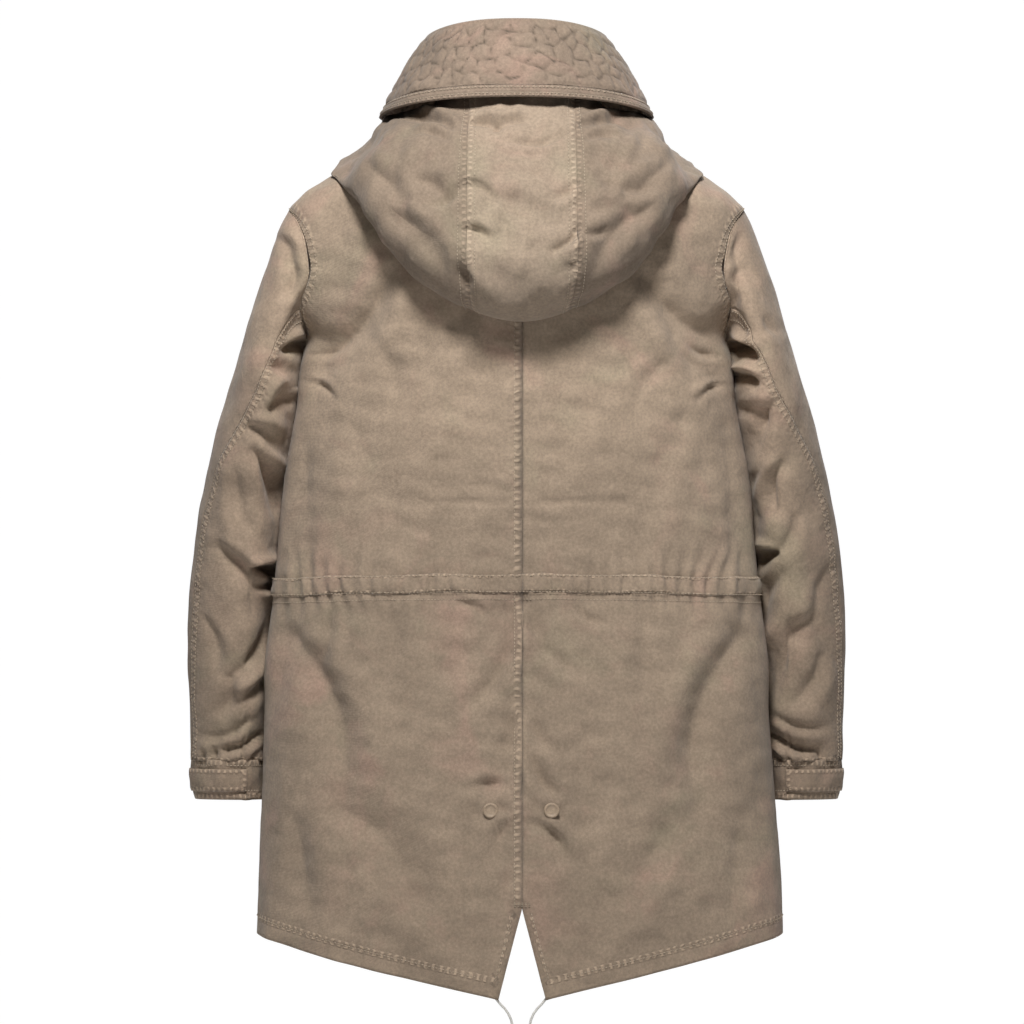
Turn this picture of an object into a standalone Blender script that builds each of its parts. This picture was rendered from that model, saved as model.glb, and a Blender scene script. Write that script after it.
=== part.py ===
"""A washed cotton parka with a fishtail back, filled out as if worn, with nobody inside.

Metres, +Z up. The front faces -Y and the wearer's left is +X. The origin is the middle of the
neck opening, level with the place where shoulder seam and neck seam meet.

The body is cut from one form: a stack of rings, each a rounded oblong. "angle" runs round a
ring from the left side (0) by the centre back (90 degrees) to the right side (180) and the
centre front (270). "level" is a ring's height at the side. Every cloth piece is a thin wall on
that form, on the sleeve's rings, or on the collar's rings.
"""

import math

import bmesh
import bpy
import numpy as np

# ------------------------------------------------------------------ driving sizes, in metres

CLOTH = 0.0016          # body, hood and sleeve cloth
DOUBLE_CLOTH = 0.0022   # collar, cuffs and placket, which are folded double
STRIP_CLOTH = 0.0014    # the waist channel
SEAM_GAP = 0.0003       # between the cut edges of two pieces
HALF_GAP = SEAM_GAP / 2

CENTRE_SEAM_X = -0.0045     # the centre back seam hangs slightly to the wearer's right
VENT_TOP = -0.790           # where the centre back seam ends in the vent
VENT_HALF_AT_TIP = 0.0238   # half of the vent's width at the two tail tips
TAIL_TIP = -0.881
SIDE_HEM = -0.819
FRONT_HEM = -0.772

CHANNEL_MIDDLE = -0.4700    # the waist channel at the sides
CHANNEL_RISE = 0.0045       # and how much higher it runs at centre back and front
CHANNEL_HALF_HEIGHT = 0.0095

SHOULDER_TIP = -0.0875
UNDERARM = -0.235
ARMHOLE_STEPS = 8           # from the shoulder tip to the underarm, on the back and on the front

CHANNEL_PUFF = 0.0012       # how far the channel's middle stands out from its sewn edges

PLACKET_HALF = 0.030
PLACKET_OFF = STRIP_CLOTH + CHANNEL_PUFF + 0.0008   # clear of the channel that it covers
SNAP_RADIUS = 0.0078
SNAP_HEIGHT = 0.0030
TAIL_SNAP_HEIGHT_Z = -0.692
TAIL_SNAP_SPREAD = 0.0305
PLACKET_SNAP_LEVELS = (-0.150, -0.270, -0.390, -0.540, -0.660)

CORD_RADIUS = 0.00125
KNOT_RADIUS = 0.0032


def table(columns, *rows):
    """A small table: each named column becomes an array, read from the top row down."""
    names = columns.split()
    return {name: np.array([row[i] for row in rows], float) for i, name in enumerate(names)}


# The body's rings. width, back and front are half sizes from the ring's side point;
# back_lift and front_lift say how much higher the ring is there than at its side.
BODY = table(
    "level   width   side_y  back    front   back_lift front_lift square",
    (0.006, 0.0820, 0.000, 0.0660, 0.0680, 0.014, -0.076, 2.00),    # neck seam
    (-0.034, 0.1500, 0.000, 0.0880, 0.0880, 0.014, -0.071, 2.20),   # half way along the shoulder
    (-0.0875, 0.2290, 0.000, 0.1060, 0.1080, 0.022, -0.058, 2.35),  # shoulder tip
    (-0.118, 0.2315, -0.001, 0.1160, 0.1190, 0.010, -0.055, 2.45),
    (-0.153, 0.2290, -0.004, 0.1215, 0.1270, 0.002, -0.048, 2.50),  # shoulder blades
    (-0.188, 0.2225, -0.008, 0.1245, 0.1300, 0.000, -0.040, 2.50),
    (-0.210, 0.2125, -0.010, 0.1250, 0.1305, 0.000, -0.034, 2.50),
    (-0.235, 0.2095, -0.012, 0.1245, 0.1300, 0.000, -0.028, 2.50),  # underarm
    (-0.274, 0.2155, -0.011, 0.1230, 0.1290, 0.000, -0.018, 2.50),
    (-0.344, 0.2295, -0.010, 0.1170, 0.1250, 0.000, -0.008, 2.45),
    (-0.466, 0.2415, -0.008, 0.1100, 0.1210, 0.000, 0.000, 2.40),   # waist
    (-0.557, 0.2520, -0.006, 0.1160, 0.1240, 0.000, 0.000, 2.35),
    (-0.683, 0.2570, -0.004, 0.1220, 0.1270, 0.000, 0.000, 2.30),
    (-0.819, 0.2610, -0.002, 0.1270, 0.1300, 0.000, 0.000, 2.30),   # side hem
    (-0.900, 0.2630, -0.002, 0.1290, 0.1320, 0.000, 0.000, 2.30),   # below the tail tips
)

# How far behind and in front of the side line the armhole runs, for a turn in degrees from
# the shoulder tip (0) to the underarm (180).
ARMHOLE = table(
    "turn  back  front",
    (0.0, 0.000, 0.000),
    (22.5, 0.031, 0.028),
    (45.0, 0.052, 0.046),
    (67.5, 0.063, 0.056),
    (90.0, 0.064, 0.059),
    (112.5, 0.044, 0.053),
    (135.0, 0.022, 0.040),
    (157.5, 0.009, 0.022),
    (180.0, 0.000, 0.000),
)

# The sleeve's level rings, on the wearer's left. outer and inner are x of the side away from
# the body and of the side next to it, deepest is x where the ring reaches farthest back and
# forward, back_seam is the turn in degrees of the seam that shows from behind.
SLEEVE = table(
    "height  outer   inner   deepest mid_y   depth   back_seam",
    (-0.270, 0.2915, 0.2195, 0.2620, -0.018, 0.077, 92.0),
    (-0.312, 0.3030, 0.2280, 0.2700, -0.029, 0.075, 66.0),
    (-0.352, 0.3115, 0.2340, 0.2780, -0.038, 0.073, 46.0),
    (-0.400, 0.3205, 0.2390, 0.2850, -0.046, 0.071, 34.0),
    (-0.449, 0.3270, 0.2440, 0.2900, -0.053, 0.068, 29.0),   # elbow
    (-0.500, 0.3300, 0.2470, 0.2930, -0.059, 0.065, 24.0),
    (-0.557, 0.3310, 0.2500, 0.2950, -0.064, 0.060, 13.0),
    (-0.610, 0.3280, 0.2520, 0.2930, -0.067, 0.054, 8.0),
    (-0.6465, 0.3260, 0.2530, 0.2910, -0.069, 0.049, 6.0),   # cuff seam
    (-0.6810, 0.3235, 0.2540, 0.2895, -0.071, 0.045, 5.0),   # wrist
)
CUFF_SEAM = -0.6465
WRIST = -0.6810
SLEEVE_TOP_RING = -0.270
ARMHOLE_BACK_SEAM_TURN = 112.5     # both seams meet the armhole at one of its corner points
FRONT_SEAM_TURN = 225.0

# The collar's rings: the stand's top edge, the fold above it, and the fall's two lower lines.
COLLAR = table(
    "width  back   front  side_z  back_lift front_lift",
    (0.0855, 0.0735, 0.0720, 0.0800, 0.012, -0.050),   # top edge of the stand
    (0.0905, 0.0800, 0.0780, 0.0870, 0.014, -0.052),   # top of the fold
    (0.1300, 0.1150, 0.1120, 0.0135, 0.0205, -0.050),  # seam of the edge strip
    (0.1365, 0.1200, 0.1170, 0.0020, 0.0205, -0.048),  # lower edge
)
STAND_TOP, FOLD_TOP, STRIP_SEAM, FALL_EDGE = range(4)
COLLAR_SQUARE = 2.1
FALL_COLUMNS = 72
FALL_ROWS = 7
FOLD_ROWS = 3
FOLD_RADIUS = 0.0045
FALL_OPENING_TOP = 0.004    # half the gap between the fall's front ends, at the fold
FALL_OPENING_EDGE = 0.016   # and at its lower edge
QUILT_RISE = 0.0016
QUILT_ROWS = 3
QUILT_COLUMNS = 26
QUILT_ROUNDING = 0.0050
QUILT_LENGTH = 0.66         # the quilted field's size, round the fall and down it
QUILT_HEIGHT = 0.066

# The hood's bag round the neck, from the centre panel's seam (column 0) over the shoulder to
# the hood's front end (column 1). edge is the level on the body form where the bag turns back
# up, loft is the bag's depth off the body.
HOOD = table(
    "column edge    loft",
    (0.0, -0.1900, 0.0610),
    (0.150, -0.1640, 0.0580),
    (0.245, -0.1300, 0.0520),
    (0.322, -0.0870, 0.0370),
    (0.392, -0.0590, 0.0240),
    (0.463, -0.0450, 0.0160),
    (0.565, -0.0360, 0.0115),
    (0.627, -0.0335, 0.0105),
    (0.822, -0.0300, 0.0100),
    (1.0, -0.0260, 0.0100),
)
HOOD_CENTRE_DROP = 0.008    # how much lower the bag hangs in the middle than at the seams
HOOD_SEAM_X = 0.056
HOOD_END_ANGLE = -58.0
HOOD_COLUMN_POWER = 1.4     # sets the columns closer together near the centre panel
HOOD_OFF_BODY = 0.0055
HOOD_LEVEL_UP = -0.010      # the bag stands off upwards at this level
HOOD_LEVEL_OUT = -0.130     # and straight out at this one
HOOD_ROUND = 0.20       # the share of the bag's length that its rounded edge takes
HOOD_RIM = 0.20         # where the upper wall ends, as a share of the bag's length

# The largest folds: soft troughs (negative) and ridges in the body's cloth, seen from
# behind, from one end to the other, with their width and height.
FOLDS = table(
    "x0     z0      x1     z1      width  height",
    (0.128, -0.153, 0.199, -0.236, 0.018, -0.0050),    # from the shoulder blade to the armpit
    (-0.130, -0.147, -0.190, -0.218, 0.018, -0.0050),
    (0.227, -0.520, 0.176, -0.690, 0.022, -0.0050),    # beside the hip
    (0.176, -0.690, 0.100, -0.790, 0.024, -0.0035),
    (-0.225, -0.520, -0.183, -0.700, 0.022, -0.0050),
    (0.008, -0.505, 0.044, -0.580, 0.014, -0.0035),    # below the channel
    (-0.015, -0.510, -0.035, -0.600, 0.014, -0.0030),
    (0.090, -0.385, 0.005, -0.390, 0.014, -0.0020),    # pressed across the small of the back
    (-0.008, -0.392, -0.110, -0.385, 0.014, -0.0020),
    (0.060, -0.860, 0.150, -0.760, 0.022, 0.0035),     # the tails' roll
    (-0.070, -0.860, -0.160, -0.760, 0.022, 0.0035),
)

TAUPE = (0.365, 0.285, 0.212, 1.0)
TAUPE_DEEP = (0.300, 0.232, 0.170, 1.0)
CORD_GREY = (0.640, 0.630, 0.600, 1.0)


# ------------------------------------------------------------------ curves and forms

def read(rows, key, column, at):
    """A smooth curve through one column of a table, held level past its two ends."""
    order = np.argsort(rows[key])
    known = rows[key][order]
    value = rows[column][order]
    slope = np.gradient(value, known)
    at = np.clip(at, known[0], known[-1])
    i = np.clip(np.searchsorted(known, at, side="right") - 1, 0, len(known) - 2)
    span = known[i + 1] - known[i]
    t = (at - known[i]) / span
    return (value[i] * (1 + 2 * t) * (1 - t) ** 2 + value[i + 1] * t * t * (3 - 2 * t)
            + span * (slope[i] * t * (1 - t) ** 2 - slope[i + 1] * t * t * (1 - t)))


def signed_power(value, power):
    return np.sign(value) * np.abs(value) ** power


def unit(vectors):
    return vectors / np.linalg.norm(vectors, axis=-1, keepdims=True)


def blend(first, second, share):
    return first + (second - first) * share


def body_form(angle, level):
    """A point of the body's form."""
    angle, level = np.broadcast_arrays(np.asarray(angle, float), np.asarray(level, float))
    across, along = np.cos(angle), np.sin(angle)
    power = 2 / read(BODY, "level", "square", level)
    behind = along >= 0
    depth = np.where(behind, read(BODY, "level", "back", level), read(BODY, "level", "front", level))
    lift = np.where(behind, read(BODY, "level", "back_lift", level),
                    read(BODY, "level", "front_lift", level))
    x = read(BODY, "level", "width", level) * signed_power(across, power)
    y = read(BODY, "level", "side_y", level) + depth * signed_power(along, power)
    return np.stack([x, y, level + lift * along ** 2], axis=-1)


def body_normal(angle, level):
    """The outward direction of the body's form."""
    turn, drop = 0.02, 0.002
    round_it = body_form(angle + turn, level) - body_form(angle - turn, level)
    down_it = body_form(angle, level - drop) - body_form(angle, level + drop)
    return unit(np.cross(down_it, round_it))


def fold_height(points):
    """How far the large folds move the body's cloth out, for points on the back."""
    height = np.zeros(points.shape[:-1])
    ends = zip(FOLDS["x0"], FOLDS["z0"], FOLDS["x1"], FOLDS["z1"])
    for (x0, z0, x1, z1), width, rise in zip(ends, FOLDS["width"], FOLDS["height"]):
        start, run = np.array([x0, z0]), np.array([x1 - x0, z1 - z0])
        from_start = points[..., [0, 2]] - start
        share = np.clip((from_start @ run) / (run @ run), 0, 1)
        away = np.linalg.norm(from_start - share[..., None] * run, axis=-1)
        fade = np.sin(np.pi * np.clip(0.12 + 0.76 * share, 0, 1))
        height += rise * fade * np.exp(-(away / width) ** 2)
    return np.where(points[..., 1] > 0, height, 0)


def body_cloth(angle, level, out=0.0):
    """A point of the body's cloth, with its large folds, moved out by a given distance."""
    points = body_form(angle, level)
    return points + body_normal(angle, level) * (fold_height(points) + out)[..., None]


def angle_at_x(x, level):
    """The angle on the back of the body's ring at which x is reached."""
    share = np.clip(x / read(BODY, "level", "width", level), -1, 1)
    return np.arccos(signed_power(share, read(BODY, "level", "square", level) / 2))


def armhole_level(turn):
    return blend(SHOULDER_TIP, UNDERARM, (1 - math.cos(math.radians(turn))) / 2)


def armhole_angle(turn, side):
    """How far round the ring from the side line the armhole runs, on the "back" or "front"."""
    level = armhole_level(turn)
    away = max(0.0, float(read(ARMHOLE, "turn", side, turn)))
    share = away / float(read(BODY, "level", side, level))
    return math.asin(share ** (float(read(BODY, "level", "square", level)) / 2))


# ------------------------------------------------------------------ mesh pieces

def material(name, colour, metallic=0.0, roughness=0.9):
    made = bpy.data.materials.new(name)
    made.use_nodes = True
    shader = made.node_tree.nodes["Principled BSDF"]
    shader.inputs["Base Color"].default_value = colour
    shader.inputs["Metallic"].default_value = metallic
    shader.inputs["Roughness"].default_value = roughness
    return made


def add_object(name, mesh, colour):
    made = bpy.data.objects.new(name, mesh)
    bpy.context.scene.collection.objects.link(made)
    mesh.materials.append(material(name, colour))
    mesh.shade_smooth()
    mesh.set_sharp_from_angle(angle=math.radians(50))
    return made


def mesh_from(name, points, faces):
    """A closed mesh with its faces cut into triangles and pointing out."""
    mesh = bpy.data.meshes.new(name)
    mesh.from_pydata([tuple(p) for p in points], [], [tuple(int(i) for i in f) for f in faces])
    edit = bmesh.new()
    edit.from_mesh(mesh)
    bmesh.ops.triangulate(edit, faces=[f for f in edit.faces if len(f.verts) > 3])
    if edit.calc_volume(signed=True) < 0:
        bmesh.ops.reverse_faces(edit, faces=edit.faces)
    edit.to_mesh(mesh)
    edit.free()
    return mesh


def two_triangles(points, a, b, c, d):
    """A four-sided face cut from a to c, or along its other diagonal if that is far shorter."""
    if np.linalg.norm(points[a] - points[c]) <= 1.25 * np.linalg.norm(points[b] - points[d]):
        return [(a, b, c), (a, c, d)]
    return [(a, b, d), (b, c, d)]


def wall(name, outer, inner, colour=TAUPE, around=False):
    """A cloth wall between an outer and an inner grid of points, as a closed solid.

    The two grids have the same columns. Their rows may differ, and then the two side edges
    are closed by one face each. A grid that goes round is a tube, open at both ends.
    """
    rows, columns = outer.shape[:2]
    inner_rows = inner.shape[0]
    out_index = np.arange(rows * columns).reshape(rows, columns)
    in_index = rows * columns + np.arange(inner_rows * columns).reshape(inner_rows, columns)
    points = np.concatenate([outer.reshape(-1, 3), inner.reshape(-1, 3)])
    faces = []
    for c in range(columns if around else columns - 1):
        d = (c + 1) % columns
        for r in range(rows - 1):
            faces += two_triangles(points, out_index[r, c], out_index[r, d],
                                   out_index[r + 1, d], out_index[r + 1, c])
        for r in range(inner_rows - 1):
            faces += two_triangles(points, in_index[r, d], in_index[r, c],
                                   in_index[r + 1, c], in_index[r + 1, d])
        faces.append((out_index[0, c], in_index[0, c], in_index[0, d], out_index[0, d]))
        faces.append((out_index[-1, c], out_index[-1, d], in_index[-1, d], in_index[-1, c]))
    if not around:
        for c, flip in ((0, False), (columns - 1, True)):
            faces += edge_faces(out_index[:, c], in_index[:, c], flip)
    return add_object(name, mesh_from(name, points, faces), colour)


def edge_faces(out_line, in_line, flip):
    """The faces that close a wall's side edge, between its outer and its inner line."""
    if len(out_line) == len(in_line):
        faces = [(out_line[r], out_line[r + 1], in_line[r + 1], in_line[r]) for r in range(len(out_line) - 1)]
    else:
        faces = [(*out_line, *in_line[::-1])]
    return [face[::-1] for face in faces] if flip else faces


def turned(name, profile, centre, direction, sides, colour):
    """A small turned piece: (radius, height) points spun about a direction at a place."""
    up = np.asarray(direction, float) / np.linalg.norm(direction)
    first = unit(np.cross(up, (0.3, 0.2, 1.0)))
    second = np.cross(up, first)
    turn = np.arange(sides) * 2 * math.pi / sides
    rim = np.cos(turn)[:, None] * first + np.sin(turn)[:, None] * second
    rings = [np.asarray(centre) + radius * rim + height * up for radius, height in profile]
    points = np.concatenate(rings)
    faces = [tuple(range(sides)), tuple((len(profile) - 1) * sides + i for i in range(sides))[::-1]]
    for r in range(len(profile) - 1):
        for i in range(sides):
            j = (i + 1) % sides
            faces.append((r * sides + j, r * sides + i, (r + 1) * sides + i, (r + 1) * sides + j))
    return add_object(name, mesh_from(name, points, faces), colour)


# ------------------------------------------------------------------ body panels

def channel_level(angle, side):
    """The upper (+1) or lower (-1) edge of the waist channel."""
    return CHANNEL_MIDDLE + CHANNEL_RISE * np.sin(angle) ** 2 + side * CHANNEL_HALF_HEIGHT


def back_hem(angle):
    """The back hem's level: it falls almost straight, seen from behind, to the tail tip."""
    across = np.abs(np.cos(angle)) ** (2 / read(BODY, "level", "square", SIDE_HEM))
    return blend(SIDE_HEM, TAIL_TIP, (1 - across) ** 0.85)


def front_hem(share_across):
    """The front hem's level, for a share of the way from the side (0) to the centre front (1)."""
    return blend(SIDE_HEM, FRONT_HEM, np.sin(share_across * math.pi / 2) ** 2)


NECK_ROWS = 4
CHEST_ROWS = 5
SKIRT_SHARES = np.array([0.0, 0.12, 0.26, 0.40, 0.54, 0.67, 0.7805, 0.89, 1.0])
BACK_COLUMNS = 11
FRONT_COLUMNS = 8


def vent_half(level):
    """Half the width of the centre back's opening: nothing above the vent."""
    return VENT_HALF_AT_TIP * np.clip((VENT_TOP - level) / (VENT_TOP - TAIL_TIP), 0, 1)


def upper_rows():
    """The levels from the neck to the underarm, with the armhole's angles on back and front."""
    rows = [(level, 0.0, 0.0) for level in np.linspace(BODY["level"][0], SHOULDER_TIP, NECK_ROWS + 1)[:-1]]
    for turn in np.linspace(0, 180, ARMHOLE_STEPS + 1):
        rows.append((armhole_level(turn), armhole_angle(turn, "back"), armhole_angle(turn, "front")))
    return rows


def back_grid(side):
    """Angles and levels of one back panel. side is +1 on the wearer's left."""
    angles, levels = [], []
    spread = np.linspace(0, 1, BACK_COLUMNS + 1)

    def row(level, side_angle):
        level = np.broadcast_to(np.asarray(level, float), spread.shape)
        edge = CENTRE_SEAM_X + side * (HALF_GAP + vent_half(level[0]))
        start = float(angle_at_x(edge, level[0]))
        end = side_angle if side > 0 else math.pi - side_angle
        angles.append(blend(start, end, spread ** 1.05))
        levels.append(level)

    for level, back_angle, _ in upper_rows():
        row(level, back_angle)
    middle = blend(math.pi / 2, 0.0, spread)
    top, bottom = channel_level(middle, 1), channel_level(middle, -1)
    hem = back_hem(middle)
    for share in np.linspace(0, 1, CHEST_ROWS + 1)[1:]:
        row(blend(UNDERARM, top, share), 0.0)
    for share in SKIRT_SHARES:
        row(blend(bottom, hem, share), 0.0)
    return np.array(angles), np.array(levels)


def front_grid(side):
    """Angles and levels of one front panel, whose second column is the placket's edge."""
    angles, levels = [], []
    spread = np.concatenate([[0.0], np.linspace(0, 1, FRONT_COLUMNS)])

    def row(level, side_angle):
        level = np.broadcast_to(np.asarray(level, float), spread.shape)
        centre = -float(angle_at_x(side * HALF_GAP, level[0]))
        placket = -float(angle_at_x(side * PLACKET_HALF, level[0]))
        end = -side_angle if side > 0 else side_angle - math.pi
        line = blend(placket, end, spread)
        line[0] = centre
        angles.append(line)
        levels.append(level)

    for level, _, front_angle in upper_rows():
        row(level, front_angle)
    middle = blend(math.pi / 2, 0.0, spread)
    top, bottom = channel_level(middle, 1), channel_level(middle, -1)
    hem = front_hem(1 - spread)
    for share in np.linspace(0, 1, CHEST_ROWS + 1)[1:]:
        row(blend(UNDERARM, top, share), 0.0)
    for share in SKIRT_SHARES:
        row(blend(bottom, hem, share), 0.0)
    return np.array(angles), np.array(levels)


def open_side_seam(points, angles, behind):
    """Moves the points on the side line apart by half a seam gap, to the back or the front."""
    on_seam = np.abs(np.sin(angles)) < 1e-6
    points[on_seam, 1] += HALF_GAP if behind else -HALF_GAP
    return points


def body_panel(name, angles, levels, behind, side):
    outer = open_side_seam(body_cloth(angles, levels), angles, behind)
    inner = open_side_seam(body_cloth(angles, levels, -CLOTH), angles, behind)
    armhole = slice(NECK_ROWS, NECK_ROWS + ARMHOLE_STEPS + 1)
    mitres = armhole_mitres()[:ARMHOLE_STEPS + 1] if behind else armhole_mitres()[:ARMHOLE_STEPS - 1:-1]
    inner[armhole, -1] = outer[armhole, -1] - mitres * (side, 1, 1) * CLOTH
    return wall(name, outer, inner)


def channel_strip(name, angles, behind):
    """One length of the waist channel, lying on a panel from its seam to its side."""
    line = angles[np.newaxis, :] + np.zeros((3, 1))
    levels = np.stack([channel_level(line[0], 1), channel_level(line[0], 0), channel_level(line[0], -1)])
    puff = np.array([0.0, CHANNEL_PUFF, 0.0])[:, None] + np.zeros_like(levels)
    outer = open_side_seam(body_cloth(line, levels, SEAM_GAP + STRIP_CLOTH + puff), line, behind)
    inner = open_side_seam(body_cloth(line, levels, SEAM_GAP), line, behind)
    return wall(name, outer, inner)


def placket(angles, levels):
    """The strip over the closing, from just under the neck seam to the front hem."""
    left = angles[1:, 1]
    level = levels[1:, 0]
    line = np.stack([left, -math.pi / 2 + np.zeros_like(left), -math.pi - left], axis=1)
    level = np.repeat(level[:, None], 3, axis=1)
    outer = body_cloth(line, level, PLACKET_OFF + DOUBLE_CLOTH)
    inner = body_cloth(line, level, PLACKET_OFF)
    return wall("front_placket", outer, inner)


def snap(name, angle, level, off):
    """A plain snap cap with a raised ring, standing on the cloth."""
    centre = body_cloth(angle, level, off)
    profile = ((0.85 * SNAP_RADIUS, 0.0), (SNAP_RADIUS, 0.5 * SNAP_HEIGHT),
               (0.82 * SNAP_RADIUS, SNAP_HEIGHT), (0.55 * SNAP_RADIUS, 0.72 * SNAP_HEIGHT))
    return turned(name, profile, centre, body_normal(angle, level), 10, TAUPE_DEEP)


def build_body():
    for side, word in ((1, "left"), (-1, "right")):
        angles, levels = back_grid(side)
        body_panel("back_" + word, angles, levels, True, side)
        channel_row = ARMHOLE_STEPS + NECK_ROWS + CHEST_ROWS
        channel_strip("waist_channel_back_" + word, angles[channel_row], True)
        angles, levels = front_grid(side)
        body_panel("front_" + word, angles, levels, False, side)
        channel_strip("waist_channel_front_" + word, angles[channel_row], False)
        if side > 0:
            placket(angles, levels)
    on_placket = PLACKET_OFF + DOUBLE_CLOTH + SEAM_GAP
    for number, level in enumerate(PLACKET_SNAP_LEVELS, start=1):
        snap(f"front_snap_{number}", np.array(-math.pi / 2), np.array(level), on_placket)
    for side, word in ((1, "left"), (-1, "right")):
        level = np.array(TAIL_SNAP_HEIGHT_Z)
        angle = angle_at_x(CENTRE_SEAM_X + side * TAIL_SNAP_SPREAD, level)
        snap("tail_snap_" + word, angle, level, 2 * SEAM_GAP)


# ------------------------------------------------------------------ sleeves

SLEEVE_CAP_ROWS = 5
SLEEVE_ROWS = 10
UNDER_SLEEVE_COLUMNS = 10   # two for each of the armhole's straight runs that it takes
TOP_SLEEVE_COLUMNS = 11     # one for each of the others


def armhole_corners():
    """The armhole's corner points and outward directions on the left, once round by the back."""
    points, normals = [], []
    steps = np.linspace(0, 180, ARMHOLE_STEPS + 1)
    for turn in steps:
        angle = np.array(armhole_angle(turn, "back"))
        points.append(body_cloth(angle, np.array(armhole_level(turn))))
        normals.append(body_normal(angle, np.array(armhole_level(turn))))
    for turn in steps[-2::-1]:
        angle = np.array(-armhole_angle(turn, "front"))
        points.append(body_cloth(angle, np.array(armhole_level(turn))))
        normals.append(body_normal(angle, np.array(armhole_level(turn))))
    return np.array(points), np.array(normals)


def along_armhole(values, turn):
    """Values given at the armhole's corners, read on the straight runs between them."""
    place = (np.asarray(turn) % 360) / 360 * (len(values) - 1)
    i = np.clip(place.astype(int), 0, len(values) - 2)
    return blend(values[i], values[i + 1], (place - i)[..., None])


def armhole_mitres():
    """At the armhole's corners, the offset across both walls for each unit of their thickness."""
    _, of_body = armhole_corners()
    turn = np.linspace(0, 360, len(of_body))
    mitre = unit(of_body + sleeve_facing(turn, np.full(len(of_body), 0.04)))
    return mitre / np.maximum((mitre * of_body).sum(-1, keepdims=True), 0.6)


def armhole_parting(turn):
    """The direction from the body's cut edge square across the seam to the sleeve's."""
    along = along_armhole(armhole_corners()[0], turn + 1.0) - along_armhole(armhole_corners()[0], turn - 1.0)
    parting = unit(np.cross(along, along_armhole(armhole_mitres(), turn)))
    into = sleeve_point(turn, np.full_like(turn, 0.1)) - sleeve_point(turn, np.zeros_like(turn))
    return parting * np.sign((parting * into).sum(-1, keepdims=True))


def sleeve_ring(turn, height):
    """A point of the sleeve's level ring. turn is 0 on the outer side and 90 at the back."""
    turn, height = np.broadcast_arrays(np.radians(turn), np.asarray(height, float))
    across, along = np.cos(turn), np.sin(turn)
    deepest = read(SLEEVE, "height", "deepest", height)
    reach = np.where(across >= 0, read(SLEEVE, "height", "outer", height) - deepest,
                     deepest - read(SLEEVE, "height", "inner", height))
    y = read(SLEEVE, "height", "mid_y", height) + read(SLEEVE, "height", "depth", height) * along
    return np.stack([deepest + reach * across, y, height], axis=-1)


def sleeve_cap(turn, share):
    """A point between the armhole (share 0) and the sleeve's first level ring (share 1)."""
    start = along_armhole(armhole_corners()[0], turn)
    end = sleeve_ring(turn, SLEEVE_TOP_RING)
    below = sleeve_ring(turn, SLEEVE_TOP_RING - 0.02)
    length = np.linalg.norm(end - start, axis=-1, keepdims=True)
    at_top = (0.5 + 0.5 * np.cos(np.radians(turn)))[..., None]
    outward = unit(blend(np.array([1.0, 0.0, -0.55]), np.array([0.55, 0.0, -1.0]), at_top))
    first = start + outward * length * 0.26
    last = end - unit(below - end) * length * 0.26
    t = np.asarray(share)[..., None]
    return ((1 - t) ** 3 * start + 3 * t * (1 - t) ** 2 * first
            + 3 * t * t * (1 - t) * last + t ** 3 * end)


def sleeve_point(turn, place):
    """The sleeve's form. place runs 0 to 1 over the cap, then 1 to 2 down to the cuff seam."""
    turn, place = np.broadcast_arrays(np.asarray(turn, float), np.asarray(place, float))
    cap = sleeve_cap(turn, np.clip(place, 0, 1))
    tube = sleeve_ring(turn, blend(SLEEVE_TOP_RING, CUFF_SEAM, np.clip(place - 1, 0, None)))
    return np.where((place <= 1)[..., None], cap, tube)


def sleeve_facing(turn, place):
    """The outward direction of the sleeve's form."""
    round_it = sleeve_point(turn + 2.0, place) - sleeve_point(turn - 2.0, place)
    down_it = sleeve_point(turn, place + 0.01) - sleeve_point(turn, np.maximum(place - 0.01, 0))
    return unit(np.cross(down_it, round_it))


def sleeve_normal(turn, place):
    """The outward direction, which at the armhole is the mitre between body and sleeve."""
    at_armhole = (place == 0)[..., None]
    return np.where(at_armhole, along_armhole(armhole_mitres(), turn), sleeve_facing(turn, place))


def back_seam_turn(place):
    """Where the sleeve's back seam runs, from the armhole down to the cuff."""
    low = read(SLEEVE, "height", "back_seam", blend(SLEEVE_TOP_RING, CUFF_SEAM, np.clip(place - 1, 0, 1)))
    high = blend(ARMHOLE_BACK_SEAM_TURN, SLEEVE["back_seam"][0], np.clip(place, 0, 1))
    return np.where(place < 1, high, low)


def sleeve_piece(name, side, first_turn, last_turn, columns):
    """A sleeve wall between two seams, given as turns for each row."""
    places = np.concatenate([np.linspace(0, 1, SLEEVE_CAP_ROWS + 1), np.linspace(1, 2, SLEEVE_ROWS + 1)[1:]])
    spread = np.linspace(0, 1, columns + 1)
    start, end = first_turn(places)[:, None], last_turn(places)[:, None]
    turn = blend(start, end, spread[None, :])
    place = np.repeat(places[:, None], columns + 1, axis=1)
    outer = sleeve_point(turn, place)
    normal = sleeve_normal(turn, place)
    outer[0] += armhole_parting(turn[0]) * SEAM_GAP
    inner = outer - normal * CLOTH
    return wall(name, outer * (side, 1, 1), inner * (side, 1, 1))


def build_sleeves():
    gap_turn = math.degrees(HALF_GAP / 0.045)
    for side, word in ((1, "left"), (-1, "right")):
        sleeve_piece("sleeve_under_" + word, side,
                     lambda p: back_seam_turn(p) + gap_turn,
                     lambda p: FRONT_SEAM_TURN - gap_turn + 0 * p, UNDER_SLEEVE_COLUMNS)
        sleeve_piece("sleeve_top_" + word, side,
                     lambda p: FRONT_SEAM_TURN + gap_turn + 0 * p,
                     lambda p: 360 + back_seam_turn(p) - gap_turn, TOP_SLEEVE_COLUMNS)
        build_cuff(side, word)


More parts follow.
